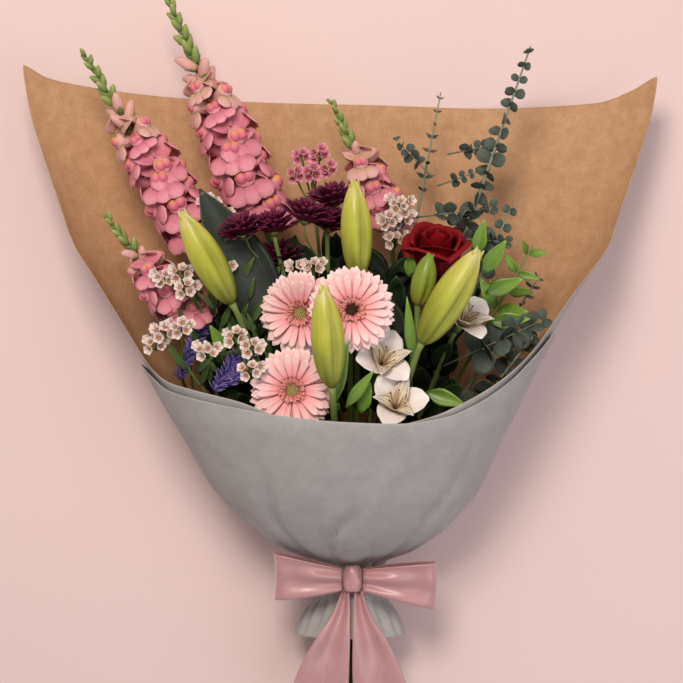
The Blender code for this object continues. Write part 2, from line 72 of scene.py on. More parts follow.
class Outline(Enum):
    """How a petal's or a leaf's width runs from its base to its tip."""

    STRAP = ((0.0, 0.42), (0.3, 0.8), (0.75, 1.0), (0.93, 0.72), (1.0, 0.12))
    ROUND = ((0.0, 0.2), (0.25, 0.8), (0.55, 1.0), (0.85, 0.78), (1.0, 0.15))
    OVATE = ((0.0, 0.1), (0.22, 0.8), (0.45, 1.0), (0.8, 0.55), (1.0, 0.03))
    LANCE = ((0.0, 0.1), (0.35, 1.0), (0.7, 0.62), (1.0, 0.02))


# ------------------------------------------------------------------ small maths


def curve_through(stations: Stations, x: float) -> float:
    """Reads a smooth curve through stations, without overshooting between them.

    Args:
        stations: (x, value) pairs in rising x.
        x: Where to read the curve.

    Returns:
        The value at x, held level past both ends.
    """
    last = len(stations) - 1
    if x <= stations[0][0]:
        return float(stations[0][1])
    if x >= stations[last][0]:
        return float(stations[last][1])
    slopes = [(b[1] - a[1]) / (b[0] - a[0]) for a, b in zip(stations, stations[1:])]

    def tangent(i: int) -> float:
        """The slope at a station: the harmonic mean of its neighbours' slopes."""
        if i in (0, last):
            return slopes[min(i, last - 1)]
        if slopes[i - 1] * slopes[i] <= 0:
            return 0.0
        return 2 * slopes[i - 1] * slopes[i] / (slopes[i - 1] + slopes[i])

    i = next(n for n in range(last) if x <= stations[n + 1][0])
    (x0, y0), (x1, y1) = stations[i], stations[i + 1]
    t, span = (x - x0) / (x1 - x0), x1 - x0
    rise = y0 * (1 - 3 * t**2 + 2 * t**3) + y1 * (3 * t**2 - 2 * t**3)
    return rise + span * (tangent(i) * (t - 2 * t**2 + t**3) + tangent(i + 1) * (t**3 - t**2))


def bezier(a: Vector, b: Vector, c: Vector, d: Vector, t: float) -> Vector:
    """A point on a cubic curve from a to d.

    Args:
        a: Where it starts.
        b: What it starts towards.
        c: What it arrives from.
        d: Where it ends.
        t: From 0 to 1.

    Returns:
        The point.
    """
    s = 1 - t
    return a * s**3 + b * 3 * s**2 * t + c * 3 * s * t**2 + d * t**3


def facing(origin: Vector, along: Vector, up: Vector, size: float = 1.0) -> Matrix:
    """A frame at origin whose Y runs along a direction and whose Z leans towards up.

    Args:
        origin: Where the frame stands.
        along: Where its Y points.
        up: What its Z leans towards.
        size: Its scale.

    Returns:
        The frame as a matrix.
    """
    y = along.normalized()
    x = y.cross(up)
    x = x.normalized() if x.length > 1e-6 else y.orthogonal().normalized()
    turn = Matrix((x, y, x.cross(y))).transposed().to_4x4()
    return Matrix.Translation(origin) @ turn @ Matrix.Diagonal((size, size, size, 1.0))


def around(axis: Vector, angle: float, lean: float) -> tuple[Vector, Vector]:
    """A direction that leans away from an axis, and the direction square to it towards the axis.

    Args:
        axis: The axis.
        angle: The turn round it.
        lean: How far the direction leans away from it.

    Returns:
        The direction, and the one square to it.
    """
    side = axis.orthogonal().normalized()
    side.rotate(Matrix.Rotation(angle, 3, axis))
    along = axis * math.cos(lean) + side * math.sin(lean)
    return along, axis * math.sin(lean) - side * math.cos(lean)


# ------------------------------------------------------------------ finishes


def colour(hex_value: str) -> tuple[float, float, float, float]:
    """Turns an sRGB hex colour to linear RGBA.

    Args:
        hex_value: Such as #e9cfcb.

    Returns:
        Red, green, blue and alpha.
    """
    parts = [int(hex_value[i:i + 2], 16) / 255 for i in (1, 3, 5)]
    linear = [c / 12.92 if c <= 0.04045 else ((c + 0.055) / 1.055) ** 2.4 for c in parts]
    return (*linear, 1.0)


def add_node(tree: bpy.types.NodeTree, kind: str, links: dict | None = None, **settings) -> bpy.types.Node:
    """Adds a shader node.

    Args:
        tree: The material's node tree.
        kind: The node's type name.
        links: Input name or index to either a value or an output socket.
        **settings: Properties of the node itself.

    Returns:
        The new node.
    """
    node = tree.nodes.new(kind)
    for key, value in settings.items():
        setattr(node, key, value)
    for key, value in (links or {}).items():
        if isinstance(value, bpy.types.NodeSocket):
            tree.links.new(value, node.inputs[key])
        else:
            node.inputs[key].default_value = value
    return node


def ramp(tree: bpy.types.NodeTree, factor: bpy.types.NodeSocket,
         stops: Sequence[tuple[float, str]]) -> bpy.types.NodeSocket:
    """A colour ramp through hex stops.

    Args:
        tree: The material's node tree.
        factor: The output that the ramp reads.
        stops: (place, hex colour) pairs.

    Returns:
        The ramp's colour output.
    """
    node = add_node(tree, "ShaderNodeValToRGB", {"Fac": factor})
    elements = node.color_ramp.elements
    while len(elements) < len(stops):
        elements.new(0.5)
    for element, (place, value) in zip(elements, stops):
        element.position = place
        element.color = colour(value)
    return node.outputs["Color"]


def begin(name: str) -> tuple[bpy.types.Material, bpy.types.NodeTree]:
    """A new material with nodes, and its node tree."""
    made = bpy.data.materials.new(name)
    made.use_nodes = True
    return made, made.node_tree


def dress(tree: bpy.types.NodeTree, base: bpy.types.NodeSocket, bump: bpy.types.Node,
          rough: bpy.types.Node, values: dict[str, Any]) -> None:
    """Links a finish to its shader.

    Args:
        tree: The material's node tree.
        base: The output that gives the base colour.
        bump: The bump node.
        rough: The node that gives the roughness.
        values: Shader input name to a constant value.
    """
    shader = tree.nodes["Principled BSDF"]
    tree.links.new(base, shader.inputs["Base Color"])
    tree.links.new(bump.outputs[0], shader.inputs["Normal"])
    tree.links.new(rough.outputs[0], shader.inputs["Roughness"])
    for socket, value in values.items():
        shader.inputs[socket].default_value = value


@dataclass(frozen=True)
class PetalFinish:
    """A living petal or leaf: thin, softly lit through, with fine veins that run along it."""

    name: str
    stops: tuple[tuple[float, str], ...]  # colour from the base, 0, to the tip, 1
    veins: float = 14.0  # across the blade
    vein_dark: float = 0.18
    midrib: float = 0.0  # how light the middle line is
    roughness: float = 0.5
    glow: float = 0.12  # light that passes through
    gloss: float = 0.35
    mottle_mm: float = 9.0
    GLOW_DEPTH: ClassVar[Point] = (0.004, 0.002, 0.001)  # metres that red, green and blue light travel

    def material(self) -> bpy.types.Material:
        """Builds the petal material on the piece's own UV map."""
        made, tree = begin(self.name)
        uv = add_node(tree, "ShaderNodeUVMap", uv_map="along")
        parts = add_node(tree, "ShaderNodeSeparateXYZ", {0: uv.outputs[0]})
        spots = add_node(tree, "ShaderNodeTexCoord")
        mottle = add_node(tree, "ShaderNodeTexNoise",
                          {"Vector": spots.outputs["Object"], "Scale": 1000 / self.mottle_mm, "Detail": 3.0})
        shift = add_node(tree, "ShaderNodeMath", {0: mottle.outputs["Fac"], 1: 0.5}, operation="SUBTRACT")
        wander = add_node(tree, "ShaderNodeMath", {0: shift.outputs[0], 1: 0.35, 2: parts.outputs["Y"]},
                          operation="MULTIPLY_ADD")
        base = ramp(tree, wander.outputs[0], self.stops)
        stretch = add_node(tree, "ShaderNodeMapping",
                           {"Vector": uv.outputs[0], "Scale": (self.veins, 1.6, 1.0)})
        lines = add_node(tree, "ShaderNodeTexNoise",
                         {"Vector": stretch.outputs[0], "Scale": 1.0, "Detail": 2.0})
        depth = add_node(tree, "ShaderNodeMapRange",
                         {"Value": lines.outputs["Fac"], "From Min": 0.3, "From Max": 0.7,
                          "To Min": 1.0 - self.vein_dark, "To Max": 1.0 + self.vein_dark * 0.4})
        shaded = add_node(tree, "ShaderNodeVectorMath", {0: base, 1: depth.outputs[0]}, operation="MULTIPLY")
        out = shaded.outputs[0]
        if self.midrib:
            offset = add_node(tree, "ShaderNodeMath", {0: parts.outputs["X"], 1: 0.5}, operation="SUBTRACT")
            away = add_node(tree, "ShaderNodeMath", {0: offset.outputs[0]}, operation="ABSOLUTE")
            near = add_node(tree, "ShaderNodeMapRange",
                            {"Value": away.outputs[0], "From Min": 0.0, "From Max": 0.05,
                             "To Min": 1.0 + self.midrib, "To Max": 1.0})
            out = add_node(tree, "ShaderNodeVectorMath", {0: out, 1: near.outputs[0]},
                           operation="MULTIPLY").outputs[0]
        bump = add_node(tree, "ShaderNodeBump",
                        {"Height": lines.outputs["Fac"], "Strength": 0.35, "Distance": 0.0006})
        rough = add_node(tree, "ShaderNodeMapRange",
                         {"Value": mottle.outputs["Fac"], "To Min": self.roughness - 0.1,
                          "To Max": self.roughness + 0.12})
        dress(tree, out, bump, rough, {"Subsurface Weight": self.glow, "Subsurface Radius": self.GLOW_DEPTH,
                                       "Specular IOR Level": self.gloss})
        return made


@dataclass(frozen=True)
class PaperFinish:
    """Wrapping paper: pressed fibres in cloudy patches, quite matt, with faint pressed wrinkles."""

    name: str
    dark: str
    middle: str
    light: str
    cloud_mm: float = 16.0
    fibre_mm: float = 1.6

    def material(self) -> bpy.types.Material:
        """Builds the paper material on Object coordinates."""
        made, tree = begin(self.name)
        spots = add_node(tree, "ShaderNodeTexCoord").outputs["Object"]
        cloud = add_node(tree, "ShaderNodeTexNoise",
                         {"Vector": spots, "Scale": 1000 / self.cloud_mm, "Detail": 6.0, "Roughness": 0.7})
        fibre = add_node(tree, "ShaderNodeTexNoise",
                         {"Vector": spots, "Scale": 1000 / self.fibre_mm, "Detail": 2.0})
        blend = add_node(tree, "ShaderNodeMath", {0: fibre.outputs["Fac"], 1: 0.35, 2: 0.0},
                         operation="MULTIPLY_ADD")
        mixed = add_node(tree, "ShaderNodeMath", {0: cloud.outputs["Fac"], 1: 0.65, 2: blend.outputs[0]},
                         operation="MULTIPLY_ADD")
        base = ramp(tree, mixed.outputs[0], ((0.36, self.dark), (0.5, self.middle), (0.64, self.light)))
        bump = add_node(tree, "ShaderNodeBump",
                        {"Height": mixed.outputs[0], "Strength": 0.25, "Distance": 0.0008})
        rough = add_node(tree, "ShaderNodeMapRange",
                         {"Value": cloud.outputs["Fac"], "To Min": 0.72, "To Max": 0.9})
        dress(tree, base, bump, rough, {"Specular IOR Level": 0.25})
        return made


@dataclass(frozen=True)
class SatinFinish:
    """Woven polyester satin: long floats give a soft bright sheen along the folds."""

    name: str = "satin_woven_ribbon"
    thread_mm: float = 0.7  # drawn coarser than the real 0.15 mm so that it shows
    ribbon_mm: float = 42.0

    def material(self) -> bpy.types.Material:
        """Builds the satin material on the ribbon's own UV map."""
        made, tree = begin(self.name)
        uv = add_node(tree, "ShaderNodeUVMap", uv_map="along").outputs[0]
        stretch = add_node(tree, "ShaderNodeMapping",
                           {"Vector": uv, "Scale": (self.ribbon_mm / self.thread_mm, 6.0, 1.0)})
        threads = add_node(tree, "ShaderNodeTexNoise",
                           {"Vector": stretch.outputs[0], "Scale": 1.0, "Detail": 2.0})
        base = ramp(tree, threads.outputs["Fac"], ((0.35, "#b98889"), (0.65, "#c39192")))
        bump = add_node(tree, "ShaderNodeBump",
                        {"Height": threads.outputs["Fac"], "Strength": 0.03, "Distance": 0.0003})
        rough = add_node(tree, "ShaderNodeMapRange",
                         {"Value": threads.outputs["Fac"], "To Min": 0.32, "To Max": 0.42})
        dress(tree, base, bump, rough, {"Sheen Weight": 0.5, "Sheen Roughness": 0.35, "Anisotropic": 0.5,
                                        "Specular IOR Level": 0.8})
        return made


Finish = PetalFinish | PaperFinish | SatinFinish


class Finishes:
    """Every finish of the bouquet, each material made once and kept."""

    # Cut green stems: smooth and a little wet-looking, paler towards the head.
    STEM = PetalFinish("stem_green", ((0.0, "#4a5c2a"), (0.5, "#66793a"), (1.0, "#7d8f4c")),
                       veins=5, vein_dark=0.2, roughness=0.45)
    # Ruscus and lily leaves: bright green with a waxy gloss and a light midrib.
    CUT_LEAF = PetalFinish("ruscus_leaf_glossy", ((0.0, "#4a6a1e"), (0.5, "#6f9430"), (1.0, "#85a840")),
                           veins=9, vein_dark=0.15, midrib=0.25, roughness=0.38, glow=0.1, gloss=0.5)
    # Aspidistra: nearly black green with close parallel ribs and a soft broad highlight.
    DARK_LEAF = PetalFinish("aspidistra_leaf_glossy", ((0.0, "#131c14"), (0.5, "#1c2a1f"), (1.0, "#28362a")),
                            veins=16, vein_dark=0.35, midrib=0.2, roughness=0.35, glow=0.02, gloss=0.45)
    # Filler foliage deep in the bunch: green leaves coloured near black, partly their own dark green and
    # partly painted shade, so that the gaps between flowers read as depth.
    FILLER = PetalFinish("foliage_green_painted_shade", ((0.0, "#0d150a"), (0.5, "#1a2a14"), (1.0, "#273d1c")),
                         veins=8, vein_dark=0.3, midrib=0.3, roughness=0.5, glow=0.04)
    # Narrow leaves on the waxflower sprigs: dull olive green.
    SPRIG_LEAF = PetalFinish("sprig_leaf_narrow", ((0.0, "#2c3f1c"), (0.6, "#4a612c"), (1.0, "#6d8040")),
                             veins=6, vein_dark=0.25, midrib=0.2, roughness=0.5, glow=0.06)
    # Eucalyptus: a powdery grey bloom over green, so it has almost no shine.
    GUM_LEAF = PetalFinish("eucalyptus_leaf_waxy", ((0.0, "#3a4239"), (0.5, "#4d574d"), (1.0, "#5e685e")),
                           veins=7, vein_dark=0.15, midrib=0.25, roughness=0.62, glow=0.05, gloss=0.25)
    GUM_TWIG = PetalFinish("eucalyptus_twig", ((0.0, "#6c7462"), (1.0, "#8b9383")),
                           veins=4, vein_dark=0.2, roughness=0.6)
    # Gerbera: satiny pale pink straps that glow at their thin tips, deeper pink at the base.
    GERBERA = PetalFinish("gerbera_petal", ((0.0, "#f0949a"), (0.35, "#f9b4b5"), (1.0, "#ffe0dc")),
                          veins=10, vein_dark=0.14, glow=0.2, gloss=0.25)
    GERBERA_RING = PetalFinish("gerbera_inner_floret", ((0.0, "#e2737f"), (1.0, "#f3b9a2")),
                               veins=5, vein_dark=0.2)
    GERBERA_EYE = PetalFinish("gerbera_green_eye", ((0.0, "#94933a"), (1.0, "#ddd08a")),
                              veins=3, vein_dark=0.3)
    GERBERA_DARK_EYE = PetalFinish("gerbera_dark_eye", ((0.0, "#1d0a0c"), (1.0, "#5a3026")),
                                   veins=3, vein_dark=0.3)
    GERBERA_CREAM = PetalFinish("gerbera_cream_anther", ((0.0, "#e7b27f"), (1.0, "#f2cf9c")),
                                veins=3, vein_dark=0.3)
    # Lily buds: waxy yellow-green with a long soft highlight, creamy where the tip parts. Their strong dark
    # lengthways streaks, vein_dark 0.35, are veins and painted shade of the grooves between the tepals.
    LILY = PetalFinish("lily_bud_waxy", ((0.0, "#74772a"), (0.2, "#8f9430"), (0.5, "#acae38"),
                                         (0.8, "#c8c452"), (1.0, "#e6dc9c")),
                       veins=8, vein_dark=0.35, roughness=0.36, gloss=0.45, mottle_mm=26.0)
    LILY_GREEN = PetalFinish("lily_bud_unripe", ((0.0, "#a68a3c"), (0.3, "#85902f"), (1.0, "#7f9a33")),
                             veins=6, vein_dark=0.2, roughness=0.36, gloss=0.45, mottle_mm=26.0)
    # Rose: velvet petals that take no hard highlight, their colour darkened towards each petal's base as
    # painted shade deep in the folds of the bloom.
    ROSE = PetalFinish("rose_petal_velvet", ((0.0, "#2c0106"), (0.5, "#5c020b"), (1.0, "#8a0814")),
                       veins=8, vein_dark=0.2, roughness=0.62, glow=0.04, gloss=0.2, mottle_mm=14.0)
    # Chrysanthemum: burgundy straps with a paler channel and tip.
    MUM = PetalFinish("chrysanthemum_petal", ((0.0, "#8f5a4c"), (0.14, "#5c1430"), (0.7, "#541030"),
                                              (1.0, "#862e52")),
                      veins=5, vein_dark=0.35, midrib=0.5, roughness=0.5, glow=0.05, gloss=0.3)
    # Snapdragon: soft matt pink lobes, apricot on the palate, and downy green buds above.
    SNAP = PetalFinish("snapdragon_petal", ((0.0, "#c2808a"), (0.35, "#d67c8e"), (1.0, "#f0a4ae")),
                       veins=8, vein_dark=0.14, roughness=0.55, glow=0.18, gloss=0.25)
    SNAP_PALE = PetalFinish("snapdragon_petal_young", ((0.0, "#b8a070"), (0.5, "#dba79c"), (1.0, "#e6b3ac")),
                            veins=8, vein_dark=0.14, roughness=0.55, glow=0.18, gloss=0.25)
    PALATE = PetalFinish("snapdragon_palate", ((0.0, "#d9708a"), (0.55, "#e5828a"), (0.8, "#eda868"),
                                               (1.0, "#f0b45c")), veins=6, vein_dark=0.15)
    SNAP_BUD = PetalFinish("snapdragon_green_bud", ((0.0, "#5a6b34"), (0.6, "#8a9a50"), (1.0, "#b3bb74")),
                           veins=5, vein_dark=0.2)
    # Waxflower: thick shiny blush petals round a brown-gold cup.
    WAX = PetalFinish("waxflower_petal", ((0.0, "#c79a94"), (0.4, "#e6cfc6"), (1.0, "#f3e6de")),
                      veins=5, vein_dark=0.12, roughness=0.38, glow=0.15, gloss=0.5)
    WAX_HEART = PetalFinish("waxflower_cup", ((0.0, "#6b7a35"), (0.6, "#a88c58"), (1.0, "#a58048")),
                            veins=4, vein_dark=0.3)
    PINK = PetalFinish("spray_petal", ((0.0, "#c4607a"), (0.5, "#e08ba2"), (1.0, "#f0b3c2")),
                       veins=5, vein_dark=0.15)
    # Statice: dry papery violet with no shine to speak of.
    VIOLET = PetalFinish("statice_papery", ((0.0, "#5f50a8"), (0.5, "#8674cc"), (1.0, "#b0a2e6")),
                         veins=5, vein_dark=0.2)
    # Alstroemeria: thin white petals that glow, the inner ones cream with brown streaks.
    ALST = PetalFinish("alstroemeria_petal", ((0.0, "#d9b6b0"), (0.35, "#efe1da"), (1.0, "#f6efe9")),
                       veins=8, vein_dark=0.1, roughness=0.45, glow=0.2, gloss=0.3)
    ALST_LINED = PetalFinish("alstroemeria_striped_petal",
                             ((0.0, "#e8d6a0"), (0.5, "#f0dfc0"), (1.0, "#f2e6e0")),
                             veins=9, vein_dark=0.75, roughness=0.45, glow=0.15, gloss=0.3)
    ANTHER = PetalFinish("anther_brown", ((0.0, "#c9a592"), (0.8, "#8a4a3a"), (1.0, "#4a241c")),
                         veins=3, vein_dark=0.2)
    # Kraft paper, brown within and printed grey without: matt and slightly cloudy.
    KRAFT = PaperFinish("kraft_paper_brown", "#b48a66", "#c1966f", "#cca27b")
    GREY = PaperFinish("kraft_paper_grey_face", "#a09d9b", "#a8a5a3", "#b0adaa", cloud_mm=22.0, fibre_mm=1.2)
    SATIN = SatinFinish()
    # Jute: hairy and dull, with light and dark fibres side by side.
    TWINE = PaperFinish("jute_twine", "#7c6746", "#a08a64", "#b7a47e", cloud_mm=3.0, fibre_mm=0.8)
    _made: dict[str, bpy.types.Material] = {}

    @classmethod
    def get(cls, finish: Finish) -> bpy.types.Material:
        """The material of a finish, made the first time it is asked for.

        Args:
            finish: The finish.

        Returns:
            Its material.
        """
        if finish.name not in cls._made:
            cls._made[finish.name] = finish.material()
        return cls._made[finish.name]


# ------------------------------------------------------------------ modelling


class Shape:
    """A mesh being built, in mm, with the UV map that its materials read."""

    def __init__(self) -> None:
        """Starts an empty mesh."""
        self.bm = bmesh.new()
        self.bm.loops.layers.uv.new("along")

    def grid(self, across: int, along: int, place: Callable[[float, float], Vector], slot: int = 0,
             wall: float = 0.0, weld: bool = False) -> None:
        """Adds a grid bent into shape.

        Args:
            across: Faces across, where u runs from 0 to 1.
            along: Faces along, where v runs from 0 to 1.
            place: Gives the point at (u, v).
            slot: Material slot of its faces.
            wall: Thickness to close it with, or 0.
            weld: Whether its seam and poles are merged.
        """
        bm = bmesh.new()
        uv = bm.loops.layers.uv.new("along")
        bmesh.ops.create_grid(bm, x_segments=across, y_segments=along, size=0.5)
        for face in bm.faces:
            face.material_index = slot
            face.smooth = True
            for loop in face.loops:
                loop[uv].uv = (loop.vert.co.x + 0.5, loop.vert.co.y + 0.5)
        for vert in bm.verts:
            vert.co = place(vert.co.x + 0.5, vert.co.y + 0.5)
        if weld:
            bmesh.ops.remove_doubles(bm, verts=bm.verts, dist=1e-4)
        if wall:
            bmesh.ops.solidify(bm, geom=bm.faces[:], thickness=wall)
        if wall or weld:
            bmesh.ops.recalc_face_normals(bm, faces=bm.faces)
        self.take(bm)

    def take(self, bm: bmesh.types.BMesh) -> None:
        """Adds another mesh to this one and frees it.

        Args:
            bm: The mesh, which is freed.
        """
        mesh = bpy.data.meshes.new("part")
        bm.to_mesh(mesh)
        bm.free()
        self.bm.from_mesh(mesh)
        bpy.data.meshes.remove(mesh)

    def blade(self, outline: Outline, length: float, width: float, slot: int = 0, cup: float = 0.0,
              arch: float = 0.0, detail: tuple[int, int] = (4, 6), wall: float = 0.35) -> None:
        """Adds a petal or leaf along +Y from the origin, facing +Z.

        Args:
            outline: Its shape in plan.
            length: From base to tip.
            width: At its widest.
            slot: Material slot.
            cup: How much its sides rise, as a share of the width.
            arch: How far it bends back along its length, in radians; positive rises.
            detail: Faces across and along.
            wall: Thickness.
        """
        bend = arch if abs(arch) > 0.01 else 0.01

        def place(u: float, v: float) -> Vector:
            """The blade's point at (u, v).

            Args:
                u: Across, from 0 to 1.
                v: Along, from 0 to 1.

            Returns:
                The point, in mm.
            """
            wide = width * curve_through(outline.value, v)
            lift = cup * wide * (2 * u - 1) ** 2
            return Vector(((u - 0.5) * wide, length * math.sin(bend * v) / bend,
                           length * (1 - math.cos(bend * v)) / bend + lift))

        self.grid(*detail, place, slot, wall)

    def tube(self, path: Sequence[Vector], radii: Sequence[float], slot: int = 0, sides: int = 8,
             rib: Callable[[float, float], float] | None = None) -> None:
        """Adds a closed tube along a path, with round or ribbed sections.

        Args:
            path: Its centre line.
            radii: The radius at each point of the path.
            slot: Material slot.
            sides: Faces round it.
            rib: A factor on the radius at (angle, v), or None.
        """
        end = len(path) - 1
        frames, side = [], None
        for i in range(end + 1):
            ahead = (path[min(i + 1, end)] - path[max(i - 1, 0)]).normalized()
            side = ahead.orthogonal() if side is None else side - ahead * side.dot(ahead)
            side.normalize()
            frames.append((side.copy(), ahead.cross(side)))
        path = [path[0]] + list(path) + [path[-1]]
        radii = [0.0] + list(radii) + [0.0]
        frames = [frames[0]] + frames + [frames[-1]]
        last = end + 2

        def place(u: float, v: float) -> Vector:
            """The tube's point at (u, v).

            Args:
                u: Across, from 0 to 1.
                v: Along, from 0 to 1.

            Returns:
                The point, in mm.
            """
            i, angle = round(v * last), u * math.tau
            radius = radii[i] * (rib(angle, v) if rib else 1.0)
            x, y = frames[i]
            return path[i] + (x * math.cos(angle) + y * math.sin(angle)) * radius

        self.grid(sides, last, place, slot, weld=True)

    def ball(self, centre: Vector, size: Vector, slot: int = 0, detail: int = 8) -> None:
        """Adds a stretched ball.

        Args:
            centre: Its middle.
            size: Its three half sizes.
            slot: Material slot.
            detail: Faces round it.
        """
        bm = bmesh.new()
        uv = bm.loops.layers.uv.new("along")
        bmesh.ops.create_uvsphere(bm, u_segments=detail, v_segments=max(4, detail // 2 + 1), radius=1.0)
        for face in bm.faces:
            face.material_index = slot
            face.smooth = True
            for loop in face.loops:
                loop[uv].uv = (0.5, loop.vert.co.z / 2 + 0.5)
        place = Matrix.Translation(centre) @ Matrix.Diagonal((*size, 1.0))
        bmesh.ops.transform(bm, matrix=place, verts=bm.verts)
        self.take(bm)

    def mesh(self) -> bpy.types.Mesh:
        """Ends the shape as a template mesh in mm.

        Returns:
            The template.
        """
        mesh = bpy.data.meshes.new("template")
        self.bm.to_mesh(mesh)
        self.bm.free()
        return mesh

    def stamp(self, template: bpy.types.Mesh, place: Matrix) -> None:
        """Adds a copy of a template at a place.

        Args:
            template: What is copied.
            place: Where it goes.
        """
        before = len(self.bm.verts)
        self.bm.from_mesh(template)
        self.bm.verts.ensure_lookup_table()
        bmesh.ops.transform(self.bm, matrix=place, verts=self.bm.verts[before:])

    def finish(self, name: str, finishes: Sequence[Finish], nodes: Sequence[str],
               slot: str) -> bpy.types.Object:
        """Ends the shape as a piece of the bouquet.

        Args:
            name: The piece's name.
            finishes: One finish for each material slot.
            nodes: The CAD nodes that it stands for.
            slot: The record's material slot; not used.

        Returns:
            The piece, riding on the bouquet's one body.
        """
        bmesh.ops.transform(self.bm, matrix=Matrix.Scale(MM, 4), verts=self.bm.verts)
        mesh = bpy.data.meshes.new(name)
        self.bm.to_mesh(mesh)
        self.bm.free()
        for finish in finishes:
            mesh.materials.append(Finishes.get(finish))
        piece = bpy.data.objects.new(name, mesh)
        bpy.context.scene.collection.objects.link(piece)
        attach(piece, "root")
        if nodes:
            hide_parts(*nodes)
        LOG.info("%s: %d faces", name, len(mesh.polygons))
        return piece


def petal_mesh(outline: Outline, length: float, width: float, slot: int = 0, cup: float = 0.0,
               arch: float = 0.0, detail: tuple[int, int] = (4, 6), wall: float = 0.35) -> bpy.types.Mesh:
    """A template of one petal or leaf.

    Args:
        outline: Its shape in plan.
        length: From base to tip.
        width: At its widest.
        slot: Material slot.
        cup: How much its sides rise, as a share of the width.
        arch: How far it bends along its length, in radians; positive rises.
        detail: Faces across and along.
        wall: Thickness.

    Returns:
        The template, along +Y from the origin.
    """
    shape = Shape()
    shape.blade(outline, length, width, slot, cup, arch, detail, wall)
    return shape.mesh()


def bead_mesh(size: Point, slot: int, detail: int) -> bpy.types.Mesh:
    """A template of one stretched bead at the origin."""
    shape = Shape()
    shape.ball(Vector(), Vector(size), slot, detail)
    return shape.mesh()


# ------------------------------------------------------------------ the bundle of stems


@dataclass
class Stalk:
    """One cut stem: where its first head starts and which way it faces."""

    name: str
    radius: float
    base: Point
    axis: Point
    index: int = 0
    offset: Vector = field(default_factory=Vector)

    def path(self, steps: int = 12, bend: float = 22.0) -> list[Vector]:
        """The centre line from the cut end to the head.

        Args:
            steps: Points above the tie.
            bend: How long the stretch below the head runs along the head's axis.

        Returns:
            The points from the cut end up.
        """
        base, axis = Vector(self.base), Vector(self.axis).normalized()
        away = self.offset * CUT_FLARE
        cut = NECK + Vector((away.x, -CUT_LENGTH + CUT_UNEVEN * math.sin(7.3 * self.index), away.z))
        tied = SPREAD_FROM + self.offset
        straight, reach = (base - tied).normalized(), (base - tied).length
        lift = [bezier(tied, tied + straight * reach * 0.4, base - axis * bend, base, t / steps)
                for t in range(1, steps + 1)]
        return [cut, cut.lerp(tied, 0.5), tied] + lift

    def grow(self, shape: Shape, sides: int = 8, bend: float = 22.0) -> list[Vector]:
        """Adds the plain stem.

        Args:
            shape: Where it is added.
            sides: Faces round it.
            bend: How long the stretch below the head runs along the head's axis.

        Returns:
            The stem's centre line.
        """
        path = self.path(bend=bend)
        shape.tube(path, [self.radius] * len(path), 0, sides)
        return path


def leafy_base(tip: Point, first: float) -> tuple[Point, Point]:
    """Where a foliage stem's leaves start, and the direction from there to its tip.

    Args:
        tip: The stem's tip.
        first: The share of the way up where its leaves start.

    Returns:
        The place, and the direction.
    """
    lower = SPREAD_FROM.lerp(Vector(tip), first)
    return tuple(lower), tuple(Vector(tip) - lower)


@dataclass
class Foliage:
    """A foliage stem's tip, its leaves and the share of the way up where they start."""

    tip: Point
    first: float
    pairs: int
    half_width: float
    length: float


FOLIAGE = {
    "eucalyptus_tall": Foliage((190, 255, 112), 0.62, 15, 9.5, 21),
    "eucalyptus_thin": Foliage((103, 217, 56), 0.78, 8, 2.6, 13),
    "eucalyptus_upper": Foliage((172, 96, 112), 0.72, 7, 9, 18),
    "eucalyptus_side": Foliage((200, 26, 112), 0.74, 9, 3.5, 19),
    "eucalyptus_round": Foliage((192, -33, 146), 0.6, 9, 12, 25),
    "ruscus_right": Foliage((190, 54, 134), 0.78, 4, 8, 38),
    "ruscus_left": Foliage((-98, -22, 126), 0.86, 3, 6, 32),
    "fern": Foliage((158, -78, 158), 0.68, 13, 2.6, 19),
    "filler_left": Foliage((-112, 0, 96), 0.6, 9, 12, 36),
    "filler_middle": Foliage((-14, 40, 104), 0.6, 9, 12, 36),
    "filler_right": Foliage((106, 36, 60), 0.6, 9, 12, 36),
}


